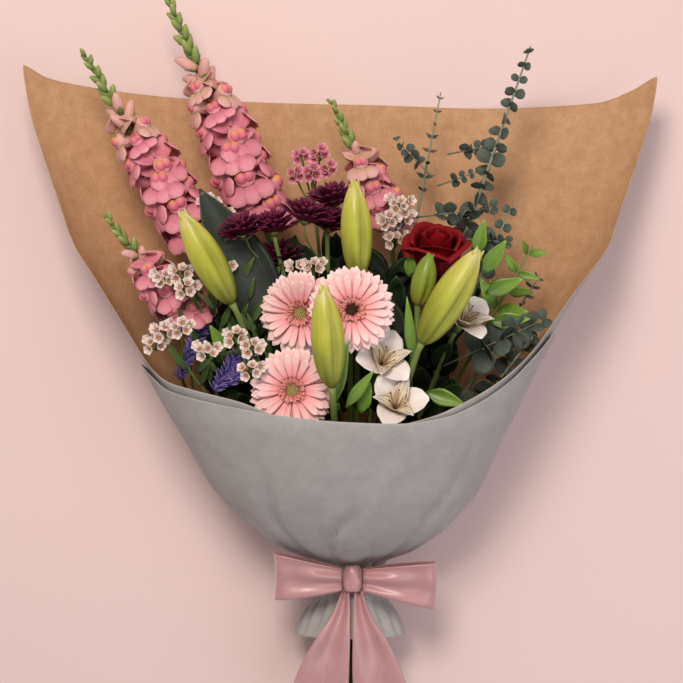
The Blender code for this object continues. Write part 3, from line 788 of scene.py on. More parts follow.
def all_stalks() -> dict[str, Stalk]:
    """Every stem in its slot of the bound bundle, in the same packing as the frame's stems.

    Returns:
        Each stem by its name.
    """
    upright = (0.0, 0.5, 1.0)
    mum = (0.05, 0.85, 0.5)
    rows = [
        ("snapdragon_tall", 2.9, (-84, 91, 76), (-97, 226, 20)),
        ("snapdragon_outer", 2.9, (-147, 64, 96), (-116, 190, 12)),
        ("snapdragon_short", 2.5, (-154, -18, 132), (-82, 105, 10)),
        ("snapdragon_back", 2.7, (46, 84, 70), (-58, 125, 8)),
        ("gerbera_left", 2.8, (-36, -13, 178), (-0.28, -0.12, 0.95)),
        ("gerbera_centre", 2.8, (9, -12, 206), (0.05, 0.04, 1)),
        ("gerbera_front", 2.8, (-46, -88, 195), (-0.04, 0.02, 1)),
        ("lily_left", 3.0, (-105, -5, 184), (-48, 87, 18)),
        ("lily_back", 3.0, (16, 19, 188), (-4, 93, 12)),
        ("lily_front", 3.0, (-9, -84, 242), (-8, 94, 20)),
        ("lily_right", 3.0, (76, -43, 207), (53, 88, 17)),
        ("rose", 3.0, (95, 14, 128), (-0.03, 0.85, 0.5)),
        ("alstroemeria_upper", 2.4, (35, -69, 177), (0.25, 0.45, 0.86)),
        ("alstroemeria_lower", 2.4, (50, -111, 186), (0.1, 0.5, 0.86)),
        ("alstroemeria_right", 2.2, (112, -32, 150), (0.4, 0.6, 0.7)),
        ("chrysanthemum_left", 2.2, (-66, 62, 146), (-0.1, 0.85, 0.5)),
        ("chrysanthemum_middle", 2.2, (-14, 66, 146), mum),
        ("pink_spray", 1.8, (-30, 128, 100), (0.0, 0.4, 1.0)),
        ("waxflower_back", 1.5, (-133, 94, 120), upright),
        ("waxflower_left", 1.5, (-155, 24, 170), upright),
        ("waxflower_low_left", 1.5, (-171, -34, 180), upright),
        ("waxflower_right", 1.5, (58, 94, 118), upright),
        ("waxflower_middle", 1.5, (-28, 30, 168), upright),
        ("waxflower_front", 1.5, (-101, -38, 200), upright),
        ("statice_left", 1.7, (-160, -76, 108), (0.35, 0.85, 0.1)),
        ("statice_front", 1.7, (-123, -88, 134), (0.5, 0.8, 0.1)),
    ]
    thick = {"eucalyptus_tall": 2.2, "eucalyptus_round": 2.2, "eucalyptus_thin": 1.5, "fern": 1.4,
             "filler_left": 1.6, "filler_middle": 1.6, "filler_right": 1.6}
    rows += [(name, thick.get(name, 1.8), *leafy_base(leaf.tip, leaf.first))
             for name, leaf in FOLIAGE.items()]
    rows.append(("dark_leaf", 2.2, (-60, -26, 146), (-0.55, 0.83, 0.02)))
    stalks = {name: Stalk(name, radius, base, axis) for name, radius, base, axis in rows}
    across = {(r, c): (c + (r % 2) / 2) * SLOT_PITCH for r in range(-5, 6) for c in range(-6, 7)}
    height = {r: r * SLOT_PITCH * math.sqrt(3) / 2 for r in range(-5, 6)}
    lattice = sorted((round(math.hypot(x, height[r]), 3), r, x, height[r])
                     for (r, _), x in across.items())[: len(stalks)]

    def lean(stalk: Stalk, axis: int) -> float:
        """How far a stem leans along an axis for each millimetre that it rises.

        Args:
            stalk: The stem.
            axis: 0 for x, 2 for z.

        Returns:
            The lean.
        """
        rise = Vector(stalk.base) - SPREAD_FROM
        return rise[axis] / rise.y

    order, count = sorted(stalks.values(), key=lambda s: lean(s, 2)), 0
    for row in sorted({slot[1] for slot in lattice}):
        places = sorted((x, z) for _, r, x, z in lattice if r == row)
        taken, order = order[: len(places)], order[len(places):]
        for stalk, (x, z) in zip(sorted(taken, key=lambda s: lean(s, 0)), places):
            stalk.index, stalk.offset, count = count, Vector((x, 0.0, z)), count + 1
    return stalks


# ------------------------------------------------------------------ flowers


@dataclass
class Gerbera:
    """A gerbera: three rings of strap petals round a button of tiny florets."""

    stalk: Stalk
    dark_eye: bool = False
    radius: float = 41.0
    petal_length: float = 33.0
    # Each ring's petals, their size, their lean from the axis and their height on it.
    rings: tuple[tuple[int, float, float, float], ...] = (
        (24, 1.0, 1.50, 8.5), (24, 0.96, 1.36, 9.5), (20, 0.74, 1.2, 10.5))
    inner_florets: int = 60
    seeds: int = 110
    anthers: int = 44
    seed: int = 1

    def build(self) -> bpy.types.Object:
        """Builds the bloom and its stem.

        Returns:
            The finished piece.
        """
        rng = random.Random(self.seed)
        shape = Shape()
        base, axis = Vector(self.stalk.base), Vector(self.stalk.axis).normalized()
        self.stalk.grow(shape, 10)
        shape.tube([base, base + axis * 4, base + axis * 9], [3.2, 9, 12], 0, 16)
        petal = petal_mesh(Outline.STRAP, self.petal_length, 9.4, 1, 0.12, -0.1, (4, 7))
        for ring, (count, size, lean, rise) in enumerate(self.rings):
            for i in range(count):
                angle = math.tau * (i + ring * 0.5) / count + rng.uniform(-0.05, 0.05)
                along, up = around(axis, angle, lean + rng.uniform(-0.07, 0.07))
                inset = (self.radius - self.petal_length * size) * (0.7 if ring == 2 else 1.0)
                start = base + axis * rise + along * inset
                shape.stamp(petal, facing(start, along, up, size * rng.uniform(0.96, 1.04)))
        floret = petal_mesh(Outline.STRAP, 9, 2.4, 2, 0.1, 0.5, (2, 3), 0.3)
        for i in range(self.inner_florets):
            along, up = around(axis, i * GOLDEN, 0.95 + 0.3 * (i % 3) / 3)
            start = base + axis * 11 + along * (6.0 + 2.5 * (i % 4) / 3)
            shape.stamp(floret, facing(start, along, up, rng.uniform(0.7, 1.0)))
        seed = bead_mesh((0.75, 0.75, 1.5), 3, 6)
        for i in range(self.seeds):
            spread = math.sqrt(i / self.seeds)
            along, _ = around(axis, i * GOLDEN, math.pi / 2)
            spot = base + axis * (14.5 - 2.0 * spread) + along * 8.5 * spread
            shape.stamp(seed, facing(spot, along, axis))
        bead = bead_mesh((0.6, 0.6, 1.9), 4, 5)
        for i in range(self.anthers):
            along, _ = around(axis, i * math.tau / self.anthers, math.pi / 2)
            shape.stamp(bead, facing(base + axis * 14.4 + along * (8.6 + 0.9 * (i % 2)), along, axis))
        eye = Finishes.GERBERA_DARK_EYE if self.dark_eye else Finishes.GERBERA_EYE
        finishes = [Finishes.STEM, Finishes.GERBERA, Finishes.GERBERA_RING, eye, Finishes.GERBERA_CREAM]
        return shape.finish(f"{self.stalk.name}_bloom", finishes, [self.stalk.name], "gerbera")


@dataclass
class LilyBud:
    """A closed lily bud: three grooved tepals that just part at the tip."""

    base: Point
    tip: Point
    half_width: float
    slot: int
    outline: Stations = ((0.0, 0.2), (0.05, 0.48), (0.16, 0.76), (0.32, 0.95), (0.48, 1.0), (0.64, 0.92),
                         (0.8, 0.68), (0.92, 0.38), (1.0, 0.12))

    def add(self, shape: Shape) -> None:
        """Adds the bud to a shape.

        Args:
            shape: Where it is added.
        """
        base, tip = Vector(self.base), Vector(self.tip)
        axis, length = (tip - base).normalized(), (tip - base).length
        shares = [i / 22 for i in range(23)]
        path = [base + axis * length * s for s in shares]
        radii = [self.half_width * curve_through(self.outline, s) for s in shares]

        def rib(angle: float, v: float) -> float:
            """Rounded tepals with a sharp groove between them and a soft keel on each.

            Args:
                angle: Round the bud.
                v: Along it, from 0 to 1.

            Returns:
                The factor on the radius.
            """
            groove = abs(math.cos(1.5 * angle + 0.5)) ** 14
            keel = abs(math.sin(1.5 * angle + 0.5)) ** 10
            return 1.0 - 0.26 * groove * math.sin(math.pi * min(1, v + 0.15)) - 0.05 * keel

        shape.tube(path, radii, self.slot, 48, rib)
        point = petal_mesh(Outline.LANCE, length * 0.24, self.half_width * 0.62, self.slot, 0.5, 0.25,
                           (4, 5), 0.8)
        for i in range(3):
            along, up = around(axis, i * math.tau / 3 + 0.7, 0.05)
            start = base + axis * length * 0.78 - up * self.half_width * 0.34
            shape.stamp(point, facing(start, along, up))


@dataclass
class Lily:
    """A lily stem in bud, with narrow leaves below the buds."""

    stalk: Stalk
    buds: list[LilyBud]
    leaves: list[tuple[Point, Point, float]] = field(default_factory=list)
    side_root: Point | None = None

    def build(self) -> bpy.types.Object:
        """Builds the stem, its leaves and its buds.

        Returns:
            The finished piece.
        """
        shape = Shape()
        path = self.stalk.path()
        shape.tube(path, [self.stalk.radius] * (len(path) - 1) + [self.stalk.radius * 1.25], 0, 10)
        for bud in self.buds:
            bud.add(shape)
        if self.side_root:
            root, base = Vector(self.side_root), Vector(self.buds[1].base)
            mid = root.lerp(base, 0.5) + Vector((2, -2, 2))
            shape.tube([root, mid, base], [2.4, 2.4, 3.0], 0, 8)
        for start, end, width in self.leaves:
            run = Vector(end) - Vector(start)
            leaf = petal_mesh(Outline.LANCE, run.length, width, 2, 0.15, 0.5, (4, 8))
            shape.stamp(leaf, facing(Vector(start), run, Vector((0, -0.3, 1))))
        finishes = [Finishes.STEM, Finishes.LILY, Finishes.CUT_LEAF, Finishes.LILY_GREEN]
        return shape.finish(f"{self.stalk.name}_buds", finishes, [self.stalk.name], "lily")


@dataclass
class Rose:
    """A half-open red rose: velvet petals wrapped round each other, the outer lips rolled back."""

    stalk: Stalk
    # Each ring's petals, radius, height, span round the bloom and roll of the lip.
    rings: tuple[tuple[int, float, float, float, float], ...] = (
        (2, 5, 58, 3.4, 0.0), (3, 10, 60, 2.9, 0.5), (3, 15, 61, 2.9, 2.0), (3, 20, 60, 2.7, 5.0),
        (4, 25, 56, 2.3, 9.0))
    seed: int = 5

    def build(self) -> bpy.types.Object:
        """Builds the bloom and its stem.

        Returns:
            The finished piece.
        """
        rng = random.Random(self.seed)
        shape = Shape()
        base, axis = Vector(self.stalk.base), Vector(self.stalk.axis).normalized()
        self.stalk.grow(shape, 10)
        shape.ball(base + axis * 4, Vector((8, 8, 7)), 0, 12)
        frame_at = facing(base + axis * 3, axis.orthogonal(), axis)
        for ring, (count, radius, height, span, roll) in enumerate(self.rings):
            for i in range(count):
                turn = math.tau * i / count + ring * 0.9 + rng.uniform(-0.15, 0.15)
                tall = height * rng.uniform(0.94, 1.04)

                def place(u: float, v: float) -> Vector:
                    """A petal wrapped on a vase-shaped body, its lip rolled outwards.

                    Args:
                        u: Across, from 0 to 1.
                        v: Along, from 0 to 1.

                    Returns:
                        The point, in mm.
                    """
                    swell = 0.3 + 0.7 * math.sin(math.pi / 2 * min(1.0, v * 1.25)) ** 1.2
                    lip = max(0.0, v - 0.82) / 0.18
                    wide = span * (0.45 + 0.55 * math.sin(math.pi * min(1.0, v * 0.75 + 0.1)))
                    angle = turn + (u - 0.5) * wide
                    edge = (2 * u - 1) ** 2
                    r = radius * swell + 1.2 * (u - 0.5) + roll * lip**1.5 + 1.5 * edge * v
                    z = tall * v * (1 - 0.16 * edge) - roll * 0.7 * lip**2
                    return Vector((r * math.cos(angle), r * math.sin(angle), z))

                petal = Shape()
                petal.grid(10, 12, place, 1, 0.6)
                shape.stamp(petal.mesh(), frame_at)
        sepal = petal_mesh(Outline.LANCE, 24, 8, 0, 0.2, -0.8, (3, 6))
        for i in range(5):
            along, up = around(axis, i * math.tau / 5, 1.1)
            shape.stamp(sepal, facing(base + axis * 4 + along * 5, along, up))
        return shape.finish("rose_bloom", [Finishes.STEM, Finishes.ROSE], ["rose"], "rose")


@dataclass
class Snapdragon:
    """A snapdragon spike: two-lipped florets low down, then pale buds, then a green tip."""

    stalk: Stalk
    length: float
    florets: int
    size: float
    open_share: float = 0.55
    young_share: float = 0.09  # of the spike: the paler florets below the buds
    pale_share: float = 0.1  # of the spike: the swollen buds above the florets
    seed: int = 3

    def floret(self, slot: int) -> bpy.types.Mesh:
        """One open floret along +Y: a throat, two upper lobes, three lower lobes and a palate.

        Args:
            slot: The petals' material slot.

        Returns:
            The template.
        """
        shape = Shape()
        throat = [Vector((0, y, 0)) for y in (0, 4, 9, 15, 19)]
        shape.tube(throat, [2.6, 4.6, 5.6, 6.6, 7.0], slot, 10)
        lobe = petal_mesh(Outline.ROUND, 19, 18, slot, 0.12, -0.9, (5, 6), 0.4)
        lip = petal_mesh(Outline.ROUND, 15, 14, slot, -0.1, -0.8, (4, 5), 0.4)
        for side in (-1, 1):
            shape.stamp(lobe, facing(Vector((side * 3.2, 14, 4.5)), Vector((side * 0.42, 0.1, 1.0)),
                                     Vector((0, 1, 0.1))))
        for side in (-1, 0, 1):
            shape.stamp(lip, facing(Vector((side * 4.4, 17, -4.5)), Vector((side * 0.7, 0.35, -0.85)),
                                    Vector((0, 1, 0.3))))
        for side in (-1, 1):
            shape.ball(Vector((side * 2.6, 19, -0.5)), Vector((3.8, 4.4, 4.4)), 2, 10)
        sepal = petal_mesh(Outline.OVATE, 7, 4, 0, 0.2, 0.3, (2, 3), 0.4)
        for i in range(5):
            along, up = around(Vector((0, 1, 0)), i * math.tau / 5, 0.5)
            shape.stamp(sepal, facing(Vector((0, -1, 0)) + along, along, -up))
        return shape.mesh()

    def bud(self, slot: int) -> bpy.types.Mesh:
        """A closed bud along +Y with its small leaf.

        Args:
            slot: The bud's material slot.

        Returns:
            The template.
        """
        shape = Shape()
        shape.tube([Vector((0, y, z)) for y, z in ((0, 0), (3, 0), (8, 0.5), (13, 1.2), (17, 0.6))],
                   [1.6, 3.4, 4.2, 3.4, 1.4], slot, 8)
        leaf = petal_mesh(Outline.OVATE, 10, 5, 0, 0.2, 0.3, (2, 4), 0.4)
        shape.stamp(leaf, facing(Vector((0, -1, -2)), Vector((0, 1, -0.35)), UP))
        return shape.mesh()

    def build(self) -> bpy.types.Object:
        """Builds the whole spike and its stem.

        Returns:
            The finished piece.
        """
        rng = random.Random(self.seed)
        shape = Shape()
        base, axis = Vector(self.stalk.base), Vector(self.stalk.axis).normalized()
        path = self.stalk.path(bend=LONG_BEND)
        above = [base + axis * self.length * s for s in (0.25, 0.5, 0.75, 0.97)]
        shape.tube(path + above, [self.stalk.radius] * len(path) + [2.6, 2.2, 1.7, 1.0], 0, 8)
        ripe, young = self.floret(1), self.floret(3)
        pale, green = self.bud(3), self.bud(4)
        for i in range(self.florets):
            share = i / self.florets
            spot = base + axis * self.length * (share**0.92 - 0.02)
            angle = i * GOLDEN + rng.uniform(-0.25, 0.25)
            if share < self.open_share:
                along, _ = around(axis, angle, 1.3 - 0.4 * share)
                size = self.size * (1.22 - 0.55 * share) * rng.uniform(0.85, 1.08)
                kind = ripe if share < self.open_share - self.young_share else young
            elif share < self.open_share + self.pale_share:
                along, _ = around(axis, angle, 0.8)
                size, kind = self.size * 1.15, pale
            else:
                along, _ = around(axis, angle, 0.95 - 0.5 * share)
                size, kind = self.size * (1.65 - 1.2 * share), green
            sway = Vector([rng.uniform(-0.3, 0.3) for _ in range(3)])
            shape.stamp(kind, facing(spot, along + sway * 0.6, axis + sway, size))
        finishes = [Finishes.STEM, Finishes.SNAP, Finishes.PALATE, Finishes.SNAP_PALE, Finishes.SNAP_BUD]
        return shape.finish(f"{self.stalk.name}_spike", finishes, [self.stalk.name], "snapdragon")


@dataclass
class Spray:
    """A branching stem with a head at each top."""

    stalk: Stalk
    tops: list[Point]
    finishes: list[Finish]
    slot: str
    forks: tuple[float, float] = (0.72, 0.9)  # shares of the stem where its first and last branch start

    def head(self, shape: Shape, base: Vector, axis: Vector, rng: random.Random) -> None:
        """Adds one head. Each kind of spray has its own.

        Args:
            shape: Where it is added.
            base: Where it starts.
            axis: Where it faces.
            rng: Where its unevenness comes from.
        """
        raise NotImplementedError

    def build(self) -> bpy.types.Object:
        """Builds the stem, its branches and every head.

        Returns:
            The finished piece.
        """
        rng = random.Random(len(self.stalk.name) + int(self.stalk.base[0]))
        shape = Shape()
        axis = Vector(self.stalk.axis).normalized()
        path = self.stalk.grow(shape, bend=20.0)
        self.head(shape, Vector(self.tops[0]), axis, rng)
        for i, top in enumerate(self.tops[1:]):
            share = self.forks[0] + (self.forks[1] - self.forks[0]) * i / max(1, len(self.tops) - 2)
            root, base = path[2 + round(share * 12)], Vector(top)
            reach = (base - root).length
            run = [bezier(root, root.lerp(base, 0.4), base - axis * reach * 0.3, base, t / 5)
                   for t in range(6)]
            shape.tube(run, [1.0] * 6, 0, 6)
            self.head(shape, base, axis, rng)
        return shape.finish(f"{self.stalk.name}_flowers", self.finishes, [self.stalk.name], self.slot)


@dataclass
class Chrysanthemum(Spray):
    """Burgundy chrysanthemums: strap petals in a shuttlecock above a green calyx."""

    # Each ring's petals, their lean from the axis and their size.
    rings: tuple[tuple[int, float, float], ...] = (
        (17, 1.0, 0.98), (16, 0.75, 1.0), (13, 0.48, 0.95), (9, 0.2, 0.85))

    def head(self, shape: Shape, base: Vector, axis: Vector, rng: random.Random) -> None:
        """Adds a half-open head.

        Args:
            shape: Where it is added.
            base: Where it starts.
            axis: Where it faces.
            rng: Where its unevenness comes from.
        """
        axis = (axis + Vector((rng.uniform(-0.3, 0.3), 0.1, rng.uniform(-0.35, 0.0)))).normalized()
        shape.tube([base, base + axis * 3, base + axis * 7], [2, 7, 8.5], 0, 14)
        petal = petal_mesh(Outline.STRAP, 25, 6.0, 1, 0.28, -0.2, (3, 6), 0.4)
        for ring, (count, lean, size) in enumerate(self.rings):
            for i in range(count):
                along, up = around(axis, math.tau * (i + ring * 0.5) / count, lean + rng.uniform(-0.1, 0.1))
                start = base + axis * (3.5 + ring) + (along - axis * along.dot(axis)) * (6.5 - 1.5 * ring)
                shape.stamp(petal, facing(start, along, up, size * rng.uniform(0.9, 1.05)))


def small_flower(petals: int, length: float, width: float, lean: float) -> bpy.types.Mesh:
    """A small open flower along +Z: round petals on a cup with a bead in its heart.

    Args:
        petals: How many.
        length: Of a petal.
        width: Of a petal.
        lean: How far they open.

    Returns:
        The template.
    """
    shape = Shape()
    shape.tube([Vector((0, 0, z)) for z in (-5, -3, 0)], [0.8, 2.0, 2.4], 2, 7)
    blade = petal_mesh(Outline.ROUND, length, width, 1, 0.25, 0.5, (3, 4), 0.4)
    for i in range(petals):
        along, inward = around(UP, i * math.tau / petals, lean)
        shape.stamp(blade, facing(along * 1.6, along, inward))
    shape.ball(Vector((0, 0, 0.8)), Vector((1.7, 1.7, 1.0)), 2, 7)
    return shape.mesh()


@dataclass
class Cluster(Spray):
    """A loose head of small flowers and round buds on short stalks."""

    petals: int = 5
    petal_size: tuple[float, float] = (6.2, 5.6)
    count: int = 7
    spread: float = 13.0
    lean: float = 0.95

    def head(self, shape: Shape, base: Vector, axis: Vector, rng: random.Random) -> None:
        """Adds a handful of flowers that fan out from a point below the top.

        Args:
            shape: Where it is added.
            base: Where it starts.
            axis: Where it faces.
            rng: Where its unevenness comes from.
        """
        flower = small_flower(self.petals, *self.petal_size, self.lean)
        root = base - axis * 14
        for i in range(self.count):
            along, _ = around(axis, i * GOLDEN, 0.25 + 0.75 * math.sqrt(i / self.count))
            spot = base - axis * 3 + along * rng.uniform(0.55, 1.0) * self.spread
            shape.tube([root, root.lerp(spot, 0.5) + axis, spot], [0.6, 0.6, 0.6], 0, 5)
            if i % 4 == 3:
                shape.ball(spot, Vector((2.4, 2.4, 2.8)), 1, 8)
            else:
                up = (along + Vector((rng.uniform(-0.4, 0.4), rng.uniform(-0.4, 0.4), 0.7))).normalized()
                shape.stamp(flower, facing(spot, up.orthogonal(), up, rng.uniform(0.85, 1.1)))


@dataclass
class Statice(Spray):
    """Violet statice: one-sided combs of narrow papery florets."""

    tufts: int = 70
    comb_length: float = 42.0
    comb_rise: float = 22.0

    def head(self, shape: Shape, base: Vector, axis: Vector, rng: random.Random) -> None:
        """Adds a comb of florets along the branch's end.

        Args:
            shape: Where it is added.
            base: Where it starts.
            axis: Where it faces.
            rng: Where its unevenness comes from.
        """
        shape.tube([base, base + UP * 16 - axis * 2, base + UP * self.comb_rise + axis * 34],
                   [1.2, 1.0, 0.6], 0, 6)
        tuft = petal_mesh(Outline.LANCE, 12, 4.2, 1, 0.3, 0.4, (2, 4), 0.4)
        for i in range(self.tufts):
            share = i / self.tufts
            side = axis.cross(UP) * math.sin(i * 2.4)
            along = (UP * 0.8 + side * 1.3 + axis * 0.5).normalized()
            spot = base + axis * (self.comb_length * share - 4) + UP * self.comb_rise
            shape.stamp(tuft, facing(spot, along, axis, rng.uniform(0.75, 1.15)))


@dataclass
class Alstroemeria:
    """An alstroemeria bloom: broad blush-white outer petals, striped inner ones and long stamens."""

    stalk: Stalk
    turn: float = 0.0

    def build(self) -> bpy.types.Object:
        """Builds the bloom and its stem.

        Returns:
            The finished piece.
        """
        shape = Shape()
        base, axis = Vector(self.stalk.base), Vector(self.stalk.axis).normalized()
        self.stalk.grow(shape)
        shape.tube([base, base + axis * 5, base + axis * 11], [2.4, 4.0, 3.5], 0, 10)
        wide = petal_mesh(Outline.ROUND, 37, 29, 1, 0.14, -0.8, (7, 9), 0.45)
        lined = petal_mesh(Outline.OVATE, 35, 17, 2, 0.25, -0.65, (6, 9), 0.45)
        for i in range(3):
            along, up = around(axis, self.turn + i * math.tau / 3, 0.55)
            shape.stamp(wide, facing(base + axis * 7 + along * 2, along, up))
            along, up = around(axis, self.turn + (i + 0.5) * math.tau / 3, 0.42)
            shape.stamp(lined, facing(base + axis * 9 + along * 2, along, up))
        for i in range(6):
            along, up = around(axis, self.turn + i * math.tau / 6 + 0.3, 0.28)
            run = [base + axis * 9 + along * s - up * 0.02 * s**1.4 for s in (2, 10, 18, 25)]
            shape.tube(run, [0.5, 0.5, 0.45, 0.4], 3, 5)
            shape.ball(run[-1], Vector((1.0, 1.0, 1.8)), 3, 6)
        finishes = [Finishes.STEM, Finishes.ALST, Finishes.ALST_LINED, Finishes.ANTHER]
        return shape.finish(f"{self.stalk.name}_bloom", finishes, [self.stalk.name], "alstroemeria")


# ------------------------------------------------------------------ foliage


@dataclass
class LeafyStem:
    """A foliage stem with leaves in pairs that get smaller towards its tip."""

    stalk: Stalk
    plan: Foliage
    outline: Outline
    leaf: PetalFinish
    twig: PetalFinish
    slot: str
    twigs: list[tuple[Point, Point, int, float]] = field(default_factory=list)
    scatter: float = 0.5  # how far the leaves turn out of the flat

    def run(self, shape: Shape, start: Vector, end: Vector, pairs: int, size: float,
            rng: random.Random) -> None:
        """Adds leaf pairs along a straight run of the stem.

        Args:
            shape: Where they are added.
            start: Where the run starts.
            end: Where it ends.
            pairs: How many pairs.
            size: The first pair's size.
            rng: Where the leaves' unevenness comes from.
        """
        axis = (end - start).normalized()
        leaf = petal_mesh(self.outline, self.plan.length, self.plan.half_width * 2, 1, 0.12, 0.3,
                          (4, 6), 0.45)
        for i in range(pairs):
            share = i / pairs
            spot = start.lerp(end, share + 0.5 / pairs)
            small = size * (1.0 - 0.62 * share) * rng.uniform(0.88, 1.1)
            tilt = rng.uniform(-1, 1) * self.scatter * math.pi
            side = axis.cross(UP).normalized()
            side.rotate(Matrix.Rotation(tilt, 3, axis))
            for hand in (-1, 1):
                along = (axis * rng.uniform(0.15, 0.6) + side * hand).normalized()
                up = Vector((rng.uniform(-0.5, 0.5), rng.uniform(-0.5, 0.5), 1.0))
                shape.stamp(leaf, facing(spot, along, up, small))

    def build(self) -> bpy.types.Object:
        """Builds the stem, its side twigs and its leaves.

        Returns:
            The finished piece.
        """
        rng = random.Random(len(self.stalk.name) * 7 + self.plan.pairs)
        shape = Shape()
        lower, tip = Vector(self.stalk.base), Vector(self.plan.tip)
        path = self.stalk.path(bend=LONG_BEND)
        above = [lower.lerp(tip, s) for s in (0.33, 0.66, 1.0)]
        radius = self.stalk.radius
        shape.tube(path + above, [radius] * len(path) + [radius * 0.8, radius * 0.6, radius * 0.4], 0, 8)
        self.run(shape, lower, tip, self.plan.pairs, 1.0, rng)
        for start, end, pairs, size in self.twigs:
            a, b = Vector(start), Vector(end)
            shape.tube([a, a.lerp(b, 0.5), b], [1.0, 0.8, 0.4], 0, 6)
            self.run(shape, a.lerp(b, 0.25), b, pairs, size, rng)
        return shape.finish(f"{self.stalk.name}_foliage", [self.twig, self.leaf], [self.stalk.name],
                            self.slot)


@dataclass
class BroadLeaf:
    """The large dark leaf: long, ribbed and softly folded along its middle."""

    stalk: Stalk
    start: Point = (-58, -38, 146)
    tip: Point = (-140, 108, 143)
    width: float = 58.0

    def build(self) -> bpy.types.Object:
        """Builds the leaf and its stalk.

        Returns:
            The finished piece.
        """
        shape = Shape()
        self.stalk.grow(shape)
        start, tip = Vector(self.start), Vector(self.tip)
        leaf = petal_mesh(Outline.OVATE, (tip - start).length, self.width, 1, 0.1, 0.12, (12, 24), 0.6)
        shape.stamp(leaf, facing(start, tip - start, Vector((0.1, 0, 1))))
        return shape.finish("dark_leaf_blade", [Finishes.STEM, Finishes.DARK_LEAF], ["dark_leaf"], "leaf")


@dataclass
class Undergrowth:
    """Dark leaves deep between the flowers that close the gaps as filler foliage does, coloured near black
    as painted shade of the gaps.
    """

    dark_leaves: int = 192
    slim_leaves: int = 46
    seed: int = 11
    # Each bright leaf's x, y and z, its turn in plan and its size.
    bright: tuple[tuple[float, float, float, float, float], ...] = (
        (82, -90, 176, 1.9, 1.0), (-112, -52, 178, -0.5, 0.75), (18, -110, 204, 0.3, 0.8),
        (66, 22, 150, 0.1, 0.7), (140, 26, 132, 0.6, 1.0), (142, 6, 136, 1.2, 1.0),
        (146, -22, 138, 1.5, 1.0), (134, 44, 128, 0.2, 0.9))

    def build(self) -> bpy.types.Object:
        """Builds the loose leaves: dark ones, slim ones on the left and bright ones.

        Returns:
            The finished piece.
        """
        rng = random.Random(self.seed)
        shape = Shape()
        leaf = petal_mesh(Outline.OVATE, 44, 22, 0, 0.15, 0.4, (4, 6), 0.4)
        for _ in range(self.dark_leaves):
            x = rng.uniform(-120, 120)
            y = rng.uniform(-120, 40) - abs(x) * 0.15
            spot = Vector((x, y, rng.uniform(60, 120 + 0.25 * (40 - y))))
            away = (spot - SPREAD_FROM).normalized()
            along = (away + Vector([rng.uniform(-0.7, 0.7) for _ in range(3)])).normalized()
            shape.stamp(leaf, facing(spot, along, UP, rng.uniform(0.7, 1.1)))
        blade = petal_mesh(Outline.LANCE, 34, 8, 1, 0.15, 0.4, (4, 6), 0.4)
        for _ in range(self.slim_leaves):
            spot = Vector((rng.uniform(-150, -60), rng.uniform(-95, 20), rng.uniform(140, 165)))
            along = Vector((rng.uniform(-0.8, 0.8), 1.0, rng.uniform(-0.2, 0.5)))
            shape.stamp(blade, facing(spot, along, UP, rng.uniform(0.6, 1.1)))
        wide = petal_mesh(Outline.LANCE, 42, 17, 2, 0.2, 0.4, (5, 8), 0.4)
        for x, y, z, turn, size in self.bright:
            along = Vector((math.sin(turn), math.cos(turn), 0.1))
            shape.stamp(wide, facing(Vector((x, y, z)), along, UP, size))
        finishes = [Finishes.FILLER, Finishes.SPRIG_LEAF, Finishes.CUT_LEAF]
        return shape.finish("undergrowth_leaves", finishes, [], "leaf")


# ------------------------------------------------------------------ paper and ribbon


